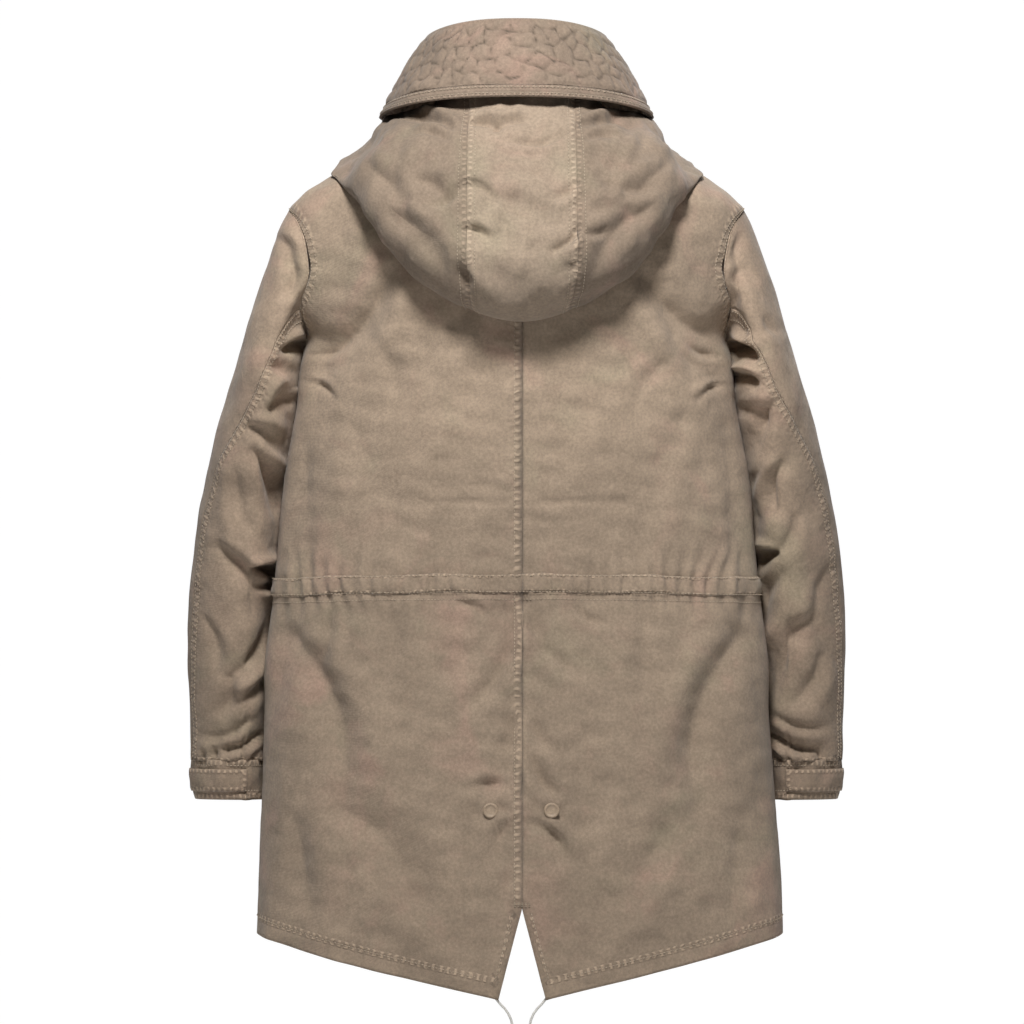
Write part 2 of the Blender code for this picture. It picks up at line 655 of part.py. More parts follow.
CUFF_COLUMNS = 24
CUFF_OUT = 0.0004       # how far the cuff stands out from the sleeve's own form
TAB_CLOTH = 0.0018
TAB_START = 104.0       # the turn of the tab's sewn end, which shows from behind
TAB_END = -52.0         # and of its point, at the front
TAB_HALF_HEIGHT = 0.0115


def cuff_wall(turn, height, out):
    points = sleeve_ring(turn, height)
    round_it = sleeve_ring(turn + 2.0, height) - sleeve_ring(turn - 2.0, height)
    down_it = sleeve_ring(turn, height - 0.002) - sleeve_ring(turn, height + 0.002)
    return points + unit(np.cross(down_it, round_it)) * out


def build_cuff(side, word):
    heights = np.array([CUFF_SEAM - SEAM_GAP, (CUFF_SEAM + WRIST) / 2, WRIST])[:, None]
    turn = np.arange(CUFF_COLUMNS)[None, :] * 360 / CUFF_COLUMNS + 0 * heights
    outer = cuff_wall(turn, heights + 0 * turn, CUFF_OUT)
    inner = cuff_wall(turn, heights + 0 * turn, CUFF_OUT - DOUBLE_CLOTH)
    wall("cuff_" + word, outer * (side, 1, 1), inner * (side, 1, 1), around=True)
    middle = (CUFF_SEAM + WRIST) / 2
    columns = np.linspace(0, 1, 11)
    half = np.where(columns < 0.9, TAB_HALF_HEIGHT, TAB_HALF_HEIGHT * 0.35)
    turn = np.stack([blend(TAB_START, TAB_END, columns)] * 2)
    height = np.stack([middle + half, middle - half])
    off = CUFF_OUT + SEAM_GAP * 2
    outer = cuff_wall(turn, height, off + TAB_CLOTH)
    inner = cuff_wall(turn, height, off)
    wall("cuff_tab_" + word, outer * (side, 1, 1), inner * (side, 1, 1))


# ------------------------------------------------------------------ collar

def collar_ring(angle, which, out=0.0):
    """A point of one of the collar's rings, moved out sideways by a given distance."""
    across, along = np.cos(angle), np.sin(angle)
    behind = along >= 0
    depth = np.where(behind, COLLAR["back"][which], COLLAR["front"][which]) + out
    lift = np.where(behind, COLLAR["back_lift"][which], COLLAR["front_lift"][which])
    power = 2 / COLLAR_SQUARE
    x = (COLLAR["width"][which] + out) * signed_power(across, power)
    y = depth * signed_power(along, power)
    return np.stack([x, y, COLLAR["side_z"][which] + lift * along ** 2], axis=-1)


def halved(values):
    """A row of values with the middle of each pair put in between."""
    middles = (values[1:] + values[:-1]) / 2
    both = np.concatenate([values, middles])
    both[0::2], both[1::2] = values, middles
    return both


def build_stand():
    """The collar's inner band, on the corner points of the neck seam."""
    angles = []
    for side in (1, -1):
        line = np.concatenate([back_grid(side)[0][0], front_grid(side)[0][0][::-1][1:]])
        angles.append(line if side > 0 else np.where(line < 0, line + 2 * math.pi, line))
    corners = np.concatenate([angles[1][::-1], angles[0][1:]])
    line = halved(corners)
    neck = halved(body_form(corners, BODY["level"][0])) + (0, 0, 1.5 * SEAM_GAP)
    top = collar_ring(line, STAND_TOP)
    outer = np.array([neck, blend(neck, top, 0.5), top])
    sideways = unit(outer * (1, 1, 0))
    wall("collar_stand", outer - sideways * 0.0002, outer - sideways * DOUBLE_CLOTH)


def quilt_seeds():
    """The middles of the collar's quilted cells: shares of the way round and down."""
    dice = np.random.default_rng(11)
    seeds = []
    for row in range(QUILT_ROWS):
        for column in range(QUILT_COLUMNS):
            shift = 0.5 * (row % 2) + dice.uniform(-0.30, 0.30)
            seeds.append(((column + 0.5 + shift) / QUILT_COLUMNS,
                          (row + 0.5 + dice.uniform(-0.28, 0.28)) / QUILT_ROWS))
    return np.array(seeds)


def quilt_rise(round_share, down_share):
    """How far a quilted cell stands out between its sewn lines."""
    size = np.array([QUILT_LENGTH, QUILT_HEIGHT])
    seeds = quilt_seeds() * size
    place = np.stack([round_share, down_share + 0 * round_share], axis=-1) * size
    away = np.sort(np.linalg.norm(place[..., None, :] - seeds, axis=-1), axis=-1)
    return QUILT_RISE * (1 - np.exp(-(away[..., 1] - away[..., 0]) / QUILT_ROUNDING))


def collar_angles(share, opening):
    """The way round the collar, from its right front end by the back to its left one."""
    gap = opening / COLLAR["front"][FOLD_TOP]
    start, end = 1.5 * math.pi - gap, gap - 0.5 * math.pi
    return blend(start, end, share)


def build_fall():
    """The collar's fall: a fold over the stand, then a quilted wall down to the edge strip."""
    share = np.linspace(0, 1, FALL_COLUMNS + 1)
    top_line = collar_angles(share, FALL_OPENING_TOP)
    low_line = collar_angles(share, FALL_OPENING_EDGE)
    stand = collar_ring(top_line, STAND_TOP) + (0, 0, 3 * SEAM_GAP)
    crown = collar_ring(top_line, FOLD_TOP)
    seam = collar_ring(low_line, STRIP_SEAM)
    outward = unit((crown - stand) * (1, 1, 0))
    inside = stand - outward * DOUBLE_CLOTH * 0.9
    fold_outer, fold_inner = [inside], [stand - outward * 0.0001]
    turns = np.linspace(math.pi, 0.25 * math.pi, FOLD_ROWS + 1)
    base = crown - outward * FOLD_RADIUS - (0, 0, FOLD_RADIUS)
    for turn in turns:
        fold_outer.append(base + outward * math.cos(turn) * (FOLD_RADIUS + 0.001)
                          + np.array([0, 0, math.sin(turn) * FOLD_RADIUS]))
    for turn in (0.75 * math.pi, 0.25 * math.pi):
        fold_inner.append(base + outward * math.cos(turn) * (FOLD_RADIUS - 0.0014)
                          + np.array([0, 0, math.sin(turn) * (FOLD_RADIUS - DOUBLE_CLOTH)]))
    start = fold_outer[-1]
    facing = unit(np.cross(seam - start, np.gradient(start, axis=0)))
    facing *= np.sign((facing * outward).sum(-1, keepdims=True))
    for down in np.linspace(0, 1, FALL_ROWS + 1)[1:]:
        fade = math.sin(math.pi * (0.15 + down * 0.85)) ** 0.3 if down < 1 else 0.0
        rise = quilt_rise(share, down) * fade
        bow = 0.0015 * math.sin(math.pi * down)
        fold_outer.append(blend(start, seam, down) + facing * (rise + bow)[:, None])
    fold_inner.append(seam - facing * DOUBLE_CLOTH)
    wall("collar_fall", np.array(fold_outer), np.array(fold_inner))
    edge = collar_ring(low_line, FALL_EDGE)
    down = unit(edge - seam)
    strip = np.array([seam + down * SEAM_GAP, edge])
    wall("collar_edge_strip", strip, strip - facing * DOUBLE_CLOTH)


# ------------------------------------------------------------------ hood

HOOD_SIDE_COLUMNS = 14
HOOD_CENTRE_COLUMNS = 6


def hood_angle(column, level, side):
    """The angle of a side panel's column at a level."""
    left = blend(angle_at_x(HOOD_SEAM_X, level), math.radians(HOOD_END_ANGLE), column ** HOOD_COLUMN_POWER)
    return left if side > 0 else math.pi - left


def hood_edge(column):
    return read(HOOD, "column", "edge", column)


def centre_angle(column, level, _side):
    """The angle of a column of the hood's centre panel: column runs -1 to 1."""
    return angle_at_x(column * HOOD_SEAM_X, level)


def centre_edge(column):
    return HOOD["edge"][0] - HOOD_CENTRE_DROP * (1 - column ** 2)


def hood_section():
    """Shares of the bag's length and of its loft, from the neck seam round to the rim."""
    inner = [(share, 0.0) for share in np.linspace(0, 1 - HOOD_ROUND, 6)]
    turn = np.radians([-50, -20, 15, 50])
    rounded = [(1 - HOOD_ROUND + HOOD_ROUND * math.cos(t), 0.5 + 0.5 * math.sin(t)) for t in turn]
    outer = [(share, 1.0) for share in np.linspace(1 - HOOD_ROUND, HOOD_RIM, 8)]
    return np.array(inner + rounded + outer)


def hood_outward(angle, level):
    """The direction in which the bag stands off: upwards on the shoulder, level below it."""
    up = np.clip((level - HOOD_LEVEL_OUT) / (HOOD_LEVEL_UP - HOOD_LEVEL_OUT), 0, 1)
    up = 0.6 * up * up * (3 - 2 * up)
    return unit(np.stack([(1 - up) * np.cos(angle), (1 - up) * np.sin(angle), up], axis=-1))


def hood_loft(share, column, angle):
    """The bag's depth: fullest low down, less towards the rim under the collar."""
    full = read(HOOD, "column", "loft", np.maximum(column, 0))
    at_rim = 0.10 + 0.32 * np.sin(angle) ** 2
    return full * blend(at_rim, 1.0, np.sin(np.clip(share, 0, 1) * math.pi * 0.62) ** 1.5)


def hood_grid(columns, angle_of, edge_of, side):
    """The hood's middle surface and its facing, as grids of points."""
    points, outwards = [], []
    for share, lofted in hood_section():
        level = blend(BODY["level"][0], edge_of(columns), share)
        angle = angle_of(columns, level, side)
        outward = hood_outward(angle, level)
        depth = hood_loft(share, columns if angle_of is hood_angle else 0 * columns, angle)
        on_body = body_form(angle, level) + body_normal(angle, level) * HOOD_OFF_BODY
        points.append(on_body + outward * (lofted * depth)[:, None])
        outwards.append(outward)
    points = np.array(points)
    facing = unit(np.cross(np.gradient(points, axis=0), np.gradient(points, axis=1)))
    return points, facing * np.sign((facing[-3] * outwards[-3]).sum(-1).mean())


def hood_panel(name, columns, angle_of, edge_of, side):
    points, facing = hood_grid(columns, angle_of, edge_of, side)
    wall(name, points + facing * CLOTH / 2, points - facing * CLOTH / 2)


def build_hood():
    gap = (HALF_GAP / 0.1) ** (1 / HOOD_COLUMN_POWER)
    for side, word in ((1, "left"), (-1, "right")):
        hood_panel("hood_" + word, np.linspace(gap, 1, HOOD_SIDE_COLUMNS + 1), hood_angle, hood_edge, side)
    across = 1 - HALF_GAP / HOOD_SEAM_X
    hood_panel("hood_centre", np.linspace(-across, across, HOOD_CENTRE_COLUMNS + 1), centre_angle, centre_edge, 1)


# ------------------------------------------------------------------ hem drawcord ends

# The route of the left end, from behind the hem at the tail tip down to its knot.
CORD_ROUTE = table(
    "x       y       z",
    (0.0290, 0.1227, -0.8735),
    (0.0250, 0.1229, -0.8795),
    (0.0205, 0.1233, -0.8850),
    (0.0165, 0.1241, -0.8890),
    (0.0128, 0.1247, -0.8940),
    (0.0100, 0.1250, -0.9000),
    (0.0082, 0.1250, -0.9080),
    (0.0072, 0.1250, -0.9180),
    (0.0068, 0.1250, -0.9300),
    (0.0066, 0.1250, -0.9420),
    (0.0066, 0.1250, -0.9540),
)


def cord_point(side, row):
    return (CENTRE_SEAM_X + side * (CORD_ROUTE["x"][row]), CORD_ROUTE["y"][row], CORD_ROUTE["z"][row])


def build_cord(side, word):
    curve = bpy.data.curves.new("drawcord_" + word, "CURVE")
    curve.dimensions = "3D"
    curve.bevel_depth = CORD_RADIUS
    curve.bevel_resolution = 2
    curve.use_fill_caps = True
    line = curve.splines.new("POLY")
    count = len(CORD_ROUTE["x"])
    line.points.add(count - 1)
    for row in range(count):
        line.points[row].co = (*cord_point(side, row), 1.0)
    made = bpy.data.objects.new("drawcord_" + word, curve)
    bpy.context.scene.collection.objects.link(made)
    curve.materials.append(material("drawcord_" + word, CORD_GREY))
    x, y, z = cord_point(side, count - 1)
    profile = ((0.35 * KNOT_RADIUS, 0.0), (0.85 * KNOT_RADIUS, -0.6 * KNOT_RADIUS),
               (KNOT_RADIUS, -1.3 * KNOT_RADIUS), (0.8 * KNOT_RADIUS, -2.0 * KNOT_RADIUS),
               (0.3 * KNOT_RADIUS, -2.5 * KNOT_RADIUS))
    turned("drawcord_knot_" + word, profile[::-1], (x, y, z - SEAM_GAP), (0, 0, 1), 10, CORD_GREY)


def main():
    for old in list(bpy.data.objects):
        bpy.data.objects.remove(old, do_unlink=True)
    build_body()
    build_sleeves()
    build_stand()
    build_fall()
    build_hood()
    for side, word in ((1, "left"), (-1, "right")):
        build_cord(side, word)


main()
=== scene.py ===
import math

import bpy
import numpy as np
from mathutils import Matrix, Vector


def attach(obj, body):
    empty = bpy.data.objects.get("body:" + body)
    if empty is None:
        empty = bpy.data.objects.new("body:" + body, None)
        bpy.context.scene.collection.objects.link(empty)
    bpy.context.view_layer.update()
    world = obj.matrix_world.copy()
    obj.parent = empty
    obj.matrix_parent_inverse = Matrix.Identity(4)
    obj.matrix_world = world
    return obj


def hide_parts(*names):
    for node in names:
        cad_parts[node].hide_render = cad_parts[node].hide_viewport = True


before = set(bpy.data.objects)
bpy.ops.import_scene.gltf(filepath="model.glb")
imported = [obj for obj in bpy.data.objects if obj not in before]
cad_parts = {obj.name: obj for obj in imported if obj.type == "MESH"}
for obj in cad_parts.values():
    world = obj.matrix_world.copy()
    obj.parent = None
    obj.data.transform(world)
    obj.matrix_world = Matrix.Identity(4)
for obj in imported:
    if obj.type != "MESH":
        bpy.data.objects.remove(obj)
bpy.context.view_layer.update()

# The looks of a washed cotton parka with a fishtail back, seen from behind.
#
# Every cloth piece is a thin shell on its solid's form, with the photo's creases laid over it.
# Metres, +Z up, the front faces -Y and the wearer's left is +X. "angle" runs round the
# body from its left side (0) by the centre back (90 degrees) to the right side and the front.

# ------------------------------------------------------------------ driving sizes, in metres

CLOTH = 0.0016
DOUBLE_CLOTH = 0.0022
STRIP_CLOTH = 0.0014
CENTRE_SEAM_X = -0.0055
BACK_MIDDLE_X = -0.0045     # the middle of the hood, the tail snaps and the cord ends
VENT_TOP = -0.790
VENT_HALF_AT_TIP = 0.0238
TAIL_TIP = -0.881
SIDE_HEM = -0.819
FRONT_HEM = -0.772
CHANNEL_MIDDLE = -0.4700
CHANNEL_RISE = 0.0045
CHANNEL_HALF_HEIGHT = 0.0095
CHANNEL_PUFF = 0.0010
SHOULDER_TIP = -0.0875
UNDERARM = -0.235
HEM_DEPTH = 0.0180      # from the hem's edge up to its stitches
PLACKET_HALF = 0.030
PLACKET_TOP, PLACKET_LENGTH = -0.02, 0.76
PLACKET_OFF = STRIP_CLOTH + CHANNEL_PUFF + 0.0008
SNAP_RADIUS = 0.0078
SNAP_HEIGHT = 0.0030
TAIL_SNAP_Z = -0.692
TAIL_SNAP_SPREAD = 0.0305
PLACKET_SNAP_LEVELS = (-0.150, -0.270, -0.390, -0.540, -0.660)
CORD_RADIUS = 0.00125
KNOT_RADIUS = 0.0032

SIDE_FILL = 0.0036      # how much fuller than the solids the body's sides are drawn
SLEEVE_FILL = 0.0032    # and the sleeves, where they face the body
ARMPIT_FILL = 0.0052    # and the body's sides just under the armpits
ARMPIT_FILL_Z = -0.250
LEFT_FLARE, RIGHT_FLARE = 0.0015, 0.0085    # how far the body's sides flare out at the hem

FINE = 0.0030           # size of a shell's cells on the back
COARSE = 0.0058         # on the front and the placket
SLEEVE_CELL = 0.0033    # and on the sleeves
NECK_TO_SHOULDER = 0.17     # lengths of cloth that set how many cells a shell has
ARMHOLE_LENGTH = 0.26
BACK_HALF_GIRTH, BACK_DROP = 0.27, 0.62
FRONT_HALF_GIRTH, FRONT_DROP = 0.26, 0.60
SLEEVE_LENGTH = 0.38
ARMHOLE_STITCHES = (0.0020, 0.0090)         # how far from the armhole its two rows run
ARMHOLE_TURN_RADIUS = 0.12                  # turns such a distance into an angle
CHANNEL_STITCH_IN = 0.0012                  # how far inside the channel's edges its rows run
STITCH = 0.0023         # length of a stitch
STITCH_PITCH = 0.0036
THREAD_RADIUS = 0.00042


def table(columns, *rows):
    """A small table: each named column becomes an array, read from the top row down."""
    names = columns.split()
    return {name: np.array([row[i] for row in rows], float) for i, name in enumerate(names)}


# The body's rings. width, back and front are half sizes from the ring's side point;
# back_lift and front_lift say how much higher the ring is there than at its side.
BODY = table(
    "level   width   side_y  back    front   back_lift front_lift square",
    (0.006, 0.0820, 0.000, 0.0660, 0.0680, 0.014, -0.076, 2.00),    # neck seam
    (-0.034, 0.1530, 0.000, 0.0880, 0.0880, 0.014, -0.071, 2.20),
    (-0.058, 0.1945, 0.000, 0.0975, 0.0985, 0.018, -0.065, 2.28),
    (-0.0875, 0.2290, 0.000, 0.1060, 0.1080, 0.022, -0.058, 2.35),  # shoulder tip
    (-0.118, 0.2315, -0.001, 0.1160, 0.1190, 0.010, -0.055, 2.45),
    (-0.153, 0.2290, -0.004, 0.1215, 0.1270, 0.002, -0.048, 2.50),  # shoulder blades
    (-0.188, 0.2225, -0.008, 0.1245, 0.1300, 0.000, -0.040, 2.50),
    (-0.210, 0.2125, -0.010, 0.1250, 0.1305, 0.000, -0.034, 2.50),
    (-0.235, 0.2095, -0.012, 0.1245, 0.1300, 0.000, -0.028, 2.50),  # underarm
    (-0.274, 0.2155, -0.011, 0.1230, 0.1290, 0.000, -0.018, 2.50),
    (-0.344, 0.2295, -0.010, 0.1170, 0.1250, 0.000, -0.008, 2.45),
    (-0.466, 0.2415, -0.008, 0.1100, 0.1210, 0.000, 0.000, 2.40),   # waist
    (-0.557, 0.2520, -0.006, 0.1160, 0.1240, 0.000, 0.000, 2.35),
    (-0.683, 0.2570, -0.004, 0.1220, 0.1270, 0.000, 0.000, 2.30),
    (-0.819, 0.2610, -0.002, 0.1270, 0.1300, 0.000, 0.000, 2.30),   # side hem
    (-0.900, 0.2630, -0.002, 0.1290, 0.1320, 0.000, 0.000, 2.30),
)

# How far behind and in front of the side line the armhole runs, by the turn in degrees from
# the shoulder tip (0) to the underarm (180).
ARMHOLE = table(
    "turn  back  front",
    (0.0, 0.000, 0.000),
    (22.5, 0.031, 0.028),
    (45.0, 0.052, 0.046),
    (67.5, 0.063, 0.056),
    (90.0, 0.064, 0.059),
    (112.5, 0.044, 0.053),
    (135.0, 0.022, 0.040),
    (157.5, 0.009, 0.022),
    (180.0, 0.000, 0.000),
)

# The left sleeve's level rings: outer and inner are x of its two sides, deepest is x where it
# reaches farthest back, back_seam is the turn in degrees of the seam that shows from behind.
SLEEVE = table(
    "height  outer   inner   deepest mid_y   depth   back_seam",
    (-0.270, 0.2915, 0.2195, 0.2520, -0.018, 0.077, 76.8),
    (-0.312, 0.3045, 0.2280, 0.2560, -0.029, 0.075, 54.7),
    (-0.352, 0.3140, 0.2340, 0.2620, -0.038, 0.073, 37.9),
    (-0.400, 0.3240, 0.2390, 0.2660, -0.046, 0.071, 29.3),
    (-0.449, 0.3305, 0.2440, 0.2700, -0.053, 0.068, 26.8),   # elbow
    (-0.500, 0.3335, 0.2470, 0.2730, -0.059, 0.065, 24.4),
    (-0.557, 0.3345, 0.2500, 0.2760, -0.064, 0.060, 22.1),
    (-0.610, 0.3320, 0.2520, 0.2780, -0.067, 0.054, 20.4),
    (-0.6465, 0.3305, 0.2530, 0.2800, -0.069, 0.049, 19.4),   # cuff seam
    (-0.6860, 0.3270, 0.2540, 0.2795, -0.071, 0.045, 17.8),   # wrist
)
CUFF_SEAM = -0.6465
WRIST = -0.6860
SLEEVE_TOP_RING = -0.270
ARMHOLE_BACK_SEAM_TURN = 112.5
FRONT_SEAM_TURN = 225.0
CUFF_OUT = 0.0006
CUFF_MIDDLE = np.array([0.2895, -0.070, 0.0])
TAB_START, TAB_END = 104.0, -52.0
TAB_HALF_HEIGHT = 0.0115

# The collar's rings.
COLLAR = table(
    "width  back   front  side_z  back_lift front_lift back_power front_power",
    (0.0855, 0.0735, 0.0720, 0.0800, 0.012, -0.050, 1.0, 1.6),    # top edge of the stand
    (0.0920, 0.0800, 0.0780, 0.0868, 0.0145, -0.052, 1.5, 1.6),   # top of the fold
    (0.1325, 0.1150, 0.1120, 0.0160, 0.0170, -0.056, 1.3, 2.4),   # seam of the edge strip
    (0.1390, 0.1200, 0.1170, 0.0045, 0.0165, -0.054, 1.3, 2.4),   # lower edge
)
STAND_TOP, FOLD_TOP, STRIP_SEAM, FALL_EDGE = range(4)
COLLAR_SQUARE = 2.4
FOLD_RADIUS = 0.0045
FALL_OPENING_TOP = 0.004
FALL_OPENING_EDGE = 0.016
QUILT_RISE = 0.0019
QUILT_ROWS = 5
QUILT_COLUMNS = 38
QUILT_ROUNDING = 0.0032
QUILT_LENGTH = 0.66
QUILT_HEIGHT = 0.066

# The hood's bag, from the centre panel's seam (column 0) to its front end (column 1).
HOOD = table(
    "column edge    loft",
    (0.0, -0.1920, 0.0560),
    (0.080, -0.1850, 0.0550),
    (0.150, -0.1700, 0.0500),
    (0.220, -0.1480, 0.0420),
    (0.280, -0.1210, 0.0330),
    (0.322, -0.1020, 0.0240),
    (0.392, -0.0820, 0.0090),
    (0.463, -0.0680, 0.0028),
    (0.565, -0.0570, 0.0014),
    (0.627, -0.0500, 0.0020),
    (0.822, -0.0420, 0.0045),
    (1.0, -0.0330, 0.0045),
)
HOOD_CENTRE_DROP = 0.011
HOOD_SEAM_X = 0.0470
HOOD_STITCH_COLUMN = 0.040
HOOD_END_ANGLE = -58.0
HOOD_COLUMN_POWER = 1.4
HOOD_OFF_BODY = 0.0055
HOOD_LEVEL_UP = -0.010
HOOD_LEVEL_OUT = -0.130
HOOD_ROUND = 0.27          # share of its length over which its lower edge turns in
HOOD_EDGE_LOFT = 0.06      # how far off the coat that edge is, as a share of the loft
HOOD_RIM = 0.07
HOOD_UNDER_STRIP = 0.006   # how much it stands up just under the collar's strip
HOOD_SWELL = 0.019         # how much it stands up beside the neck, under the collar

# ------------------------------------------------------------------ creases, placed one by one

# Each runs from one end to the other, seen from behind in metres. Its height is below zero for
# a trough, and "lip" is the ridge beside it, as a share of its height, on its right (positive)
# or left side when going from the first end to the second.
BODY_CREASE_DEPTH = 2.0
SLEEVE_CREASE_DEPTH = 2.2
HOOD_CREASE_DEPTH = 3.0
CREASE_COLUMNS = "x0     z0      x1     z1     width  height  lip"
BODY_CREASES = table(
    CREASE_COLUMNS,
    # the two long troughs from the shoulder blades to the armpits, and their small tails
    (0.128, -0.153, 0.199, -0.236, 0.0170, -0.0060, 0.5),
    (0.150, -0.135, 0.190, -0.185, 0.0200, -0.0020, 0.0),
    (0.213, -0.262, 0.184, -0.279, 0.0040, -0.0016, 0.8),
    (0.206, -0.236, 0.176, -0.225, 0.0050, -0.0018, -0.6),
    (0.150, -0.215, 0.120, -0.290, 0.0120, -0.0018, 0.4),
    (-0.130, -0.147, -0.190, -0.218, 0.0170, -0.0060, -0.5),
    (-0.213, -0.266, -0.180, -0.282, 0.0040, -0.0018, -0.8),
    (-0.206, -0.238, -0.172, -0.222, 0.0050, -0.0018, 0.6),
    (-0.152, -0.240, -0.118, -0.310, 0.0120, -0.0018, -0.4),
    (-0.150, -0.200, -0.205, -0.262, 0.0110, -0.0020, -0.4),
    # sags beside the centre seam under the hood
    (0.028, -0.205, 0.060, -0.290, 0.0180, -0.0018, 0.3),
    (-0.030, -0.210, -0.055, -0.300, 0.0180, -0.0018, -0.3),
    # creases pressed across the small of the back
    (0.094, -0.384, 0.006, -0.384, 0.0034, -0.0012, 0.0),
    (0.046, -0.368, 0.010, -0.376, 0.0050, -0.0009, 0.4),
    (-0.009, -0.385, -0.110, -0.383, 0.0034, -0.0012, 0.0),
    (-0.012, -0.396, -0.040, -0.402, 0.0050, -0.0009, -0.4),
    # long soft hollows of the waist
    (0.170, -0.300, 0.100, -0.430, 0.0260, -0.0022, 0.0),
    (-0.165, -0.300, -0.120, -0.440, 0.0260, -0.0022, 0.0),
    (0.215, -0.330, 0.214, -0.450, 0.0140, -0.0020, 0.0),
    (-0.215, -0.330, -0.218, -0.450, 0.0140, -0.0022, 0.0),
    # below the channel
    (0.004, -0.492, 0.044, -0.585, 0.0080, -0.0042, 0.7),
    (0.016, -0.495, 0.088, -0.560, 0.0120, -0.0018, 0.4),
    (-0.012, -0.484, -0.060, -0.556, 0.0080, -0.0040, -0.7),
    (-0.012, -0.520, -0.030, -0.556, 0.0050, -0.0018, 0.7),
    (0.060, -0.484, 0.030, -0.500, 0.0050, -0.0018, 0.7),
    (-0.060, -0.488, -0.090, -0.506, 0.0050, -0.0018, -0.7),
    (-0.040, -0.500, -0.095, -0.560, 0.0110, -0.0016, -0.4),
    (0.120, -0.500, 0.150, -0.580, 0.0130, -0.0020, 0.3),
    (-0.130, -0.495, -0.150, -0.600, 0.0130, -0.0018, -0.3),
    (0.190, -0.495, 0.212, -0.560, 0.0090, -0.0024, 0.4),
    # pulls about the tail snaps
    (0.050, -0.672, 0.008, -0.668, 0.0050, -0.0018, 0.6),
    (0.005, -0.700, 0.022, -0.742, 0.0065, -0.0036, -0.5),
    (0.045, -0.684, 0.040, -0.704, 0.0045, -0.0018, 0.5),
    (0.020, -0.682, 0.008, -0.694, 0.0045, -0.0020, -0.5),
    (-0.014, -0.630, -0.040, -0.674, 0.0060, -0.0036, -0.7),
    (-0.013, -0.702, -0.052, -0.742, 0.0065, -0.0042, 0.6),
    (-0.018, -0.680, -0.026, -0.704, 0.0045, -0.0020, -0.5),
    (-0.048, -0.684, -0.046, -0.706, 0.0045, -0.0018, -0.5),
    (0.003, -0.600, 0.034, -0.680, 0.0070, -0.0030, 0.6),
    (0.002, -0.560, 0.020, -0.640, 0.0060, -0.0022, 0.6),
    (-0.014, -0.590, -0.046, -0.640, 0.0070, -0.0028, -0.6),
    (-0.020, -0.655, -0.040, -0.680, 0.0045, -0.0024, -0.7),
    (0.006, -0.745, 0.020, -0.780, 0.0060, -0.0024, 0.4),
    (-0.016, -0.750, -0.022, -0.785, 0.0070, -0.0020, -0.4),
    # the folds beside the hips, and the tails' roll
    (0.227, -0.520, 0.176, -0.690, 0.0200, -0.0060, 0.4),
    (0.176, -0.690, 0.100, -0.790, 0.0240, -0.0040, 0.2),
    (-0.225, -0.520, -0.183, -0.700, 0.0200, -0.0060, -0.4),
    (-0.185, -0.690, -0.120, -0.790, 0.0240, -0.0025, -0.2),
    (0.070, -0.600, 0.055, -0.720, 0.0200, -0.0018, 0.0),
    (-0.075, -0.620, -0.060, -0.740, 0.0200, -0.0018, 0.0),
    (0.060, -0.860, 0.150, -0.760, 0.0220, 0.0035, 0.0),
    (-0.070, -0.860, -0.160, -0.760, 0.0220, 0.0035, 0.0),
    (0.226, -0.700, 0.205, -0.800, 0.0160, -0.0030, 0.0),
    (-0.226, -0.700, -0.215, -0.800, 0.0160, -0.0030, 0.0),
)
# The left sleeve's creases, which run in from its inner edge, and the right sleeve's mirrored.
LEFT_SLEEVE_CREASES = table(
    CREASE_COLUMNS,
    (0.238, -0.118, 0.228, -0.142, 0.0090, -0.0030, 0.5),    # sleeve head
    (0.228, -0.142, 0.227, -0.176, 0.0100, -0.0045, 0.4),
    (0.232, -0.232, 0.212, -0.224, 0.0060, -0.0050, 0.6),    # the dark corner at the armpit
    (0.246, -0.292, 0.218, -0.282, 0.0060, -0.0034, 0.7),
    (0.250, -0.246, 0.226, -0.262, 0.0080, -0.0024, 0.4),
    (0.247, -0.290, 0.220, -0.268, 0.0065, -0.0034, 0.7),
    (0.272, -0.309, 0.242, -0.326, 0.0080, -0.0036, 0.6),
    (0.266, -0.333, 0.242, -0.392, 0.0090, -0.0055, 0.6),
    (0.282, -0.352, 0.262, -0.420, 0.0090, -0.0026, -0.4),
    (0.300, -0.429, 0.264, -0.496, 0.0100, -0.0045, 0.6),
    (0.268, -0.452, 0.240, -0.458, 0.0060, -0.0070, 0.7),    # the dark wedge above the channel
    (0.262, -0.470, 0.240, -0.462, 0.0060, -0.0045, -0.4),
    (0.248, -0.509, 0.290, -0.562, 0.0080, -0.0052, 0.6),
    (0.290, -0.562, 0.302, -0.600, 0.0080, -0.0036, 0.4),
    (0.255, -0.560, 0.290, -0.590, 0.0080, -0.0030, 0.4),
    (0.318, -0.500, 0.305, -0.560, 0.0080, -0.0022, 0.4),
    (0.258, -0.620, 0.300, -0.634, 0.0045, -0.0042, 0.6),    # gathers above the cuff
    (0.270, -0.606, 0.320, -0.622, 0.0050, -0.0026, 0.6),
    (0.276, -0.634, 0.280, -0.646, 0.0032, -0.0026, 0.0),
    (0.292, -0.630, 0.295, -0.646, 0.0032, -0.0026, 0.0),
    (0.306, -0.632, 0.307, -0.646, 0.0032, -0.0026, 0.0),
    (0.318, -0.634, 0.317, -0.646, 0.0032, -0.0020, 0.0),
)
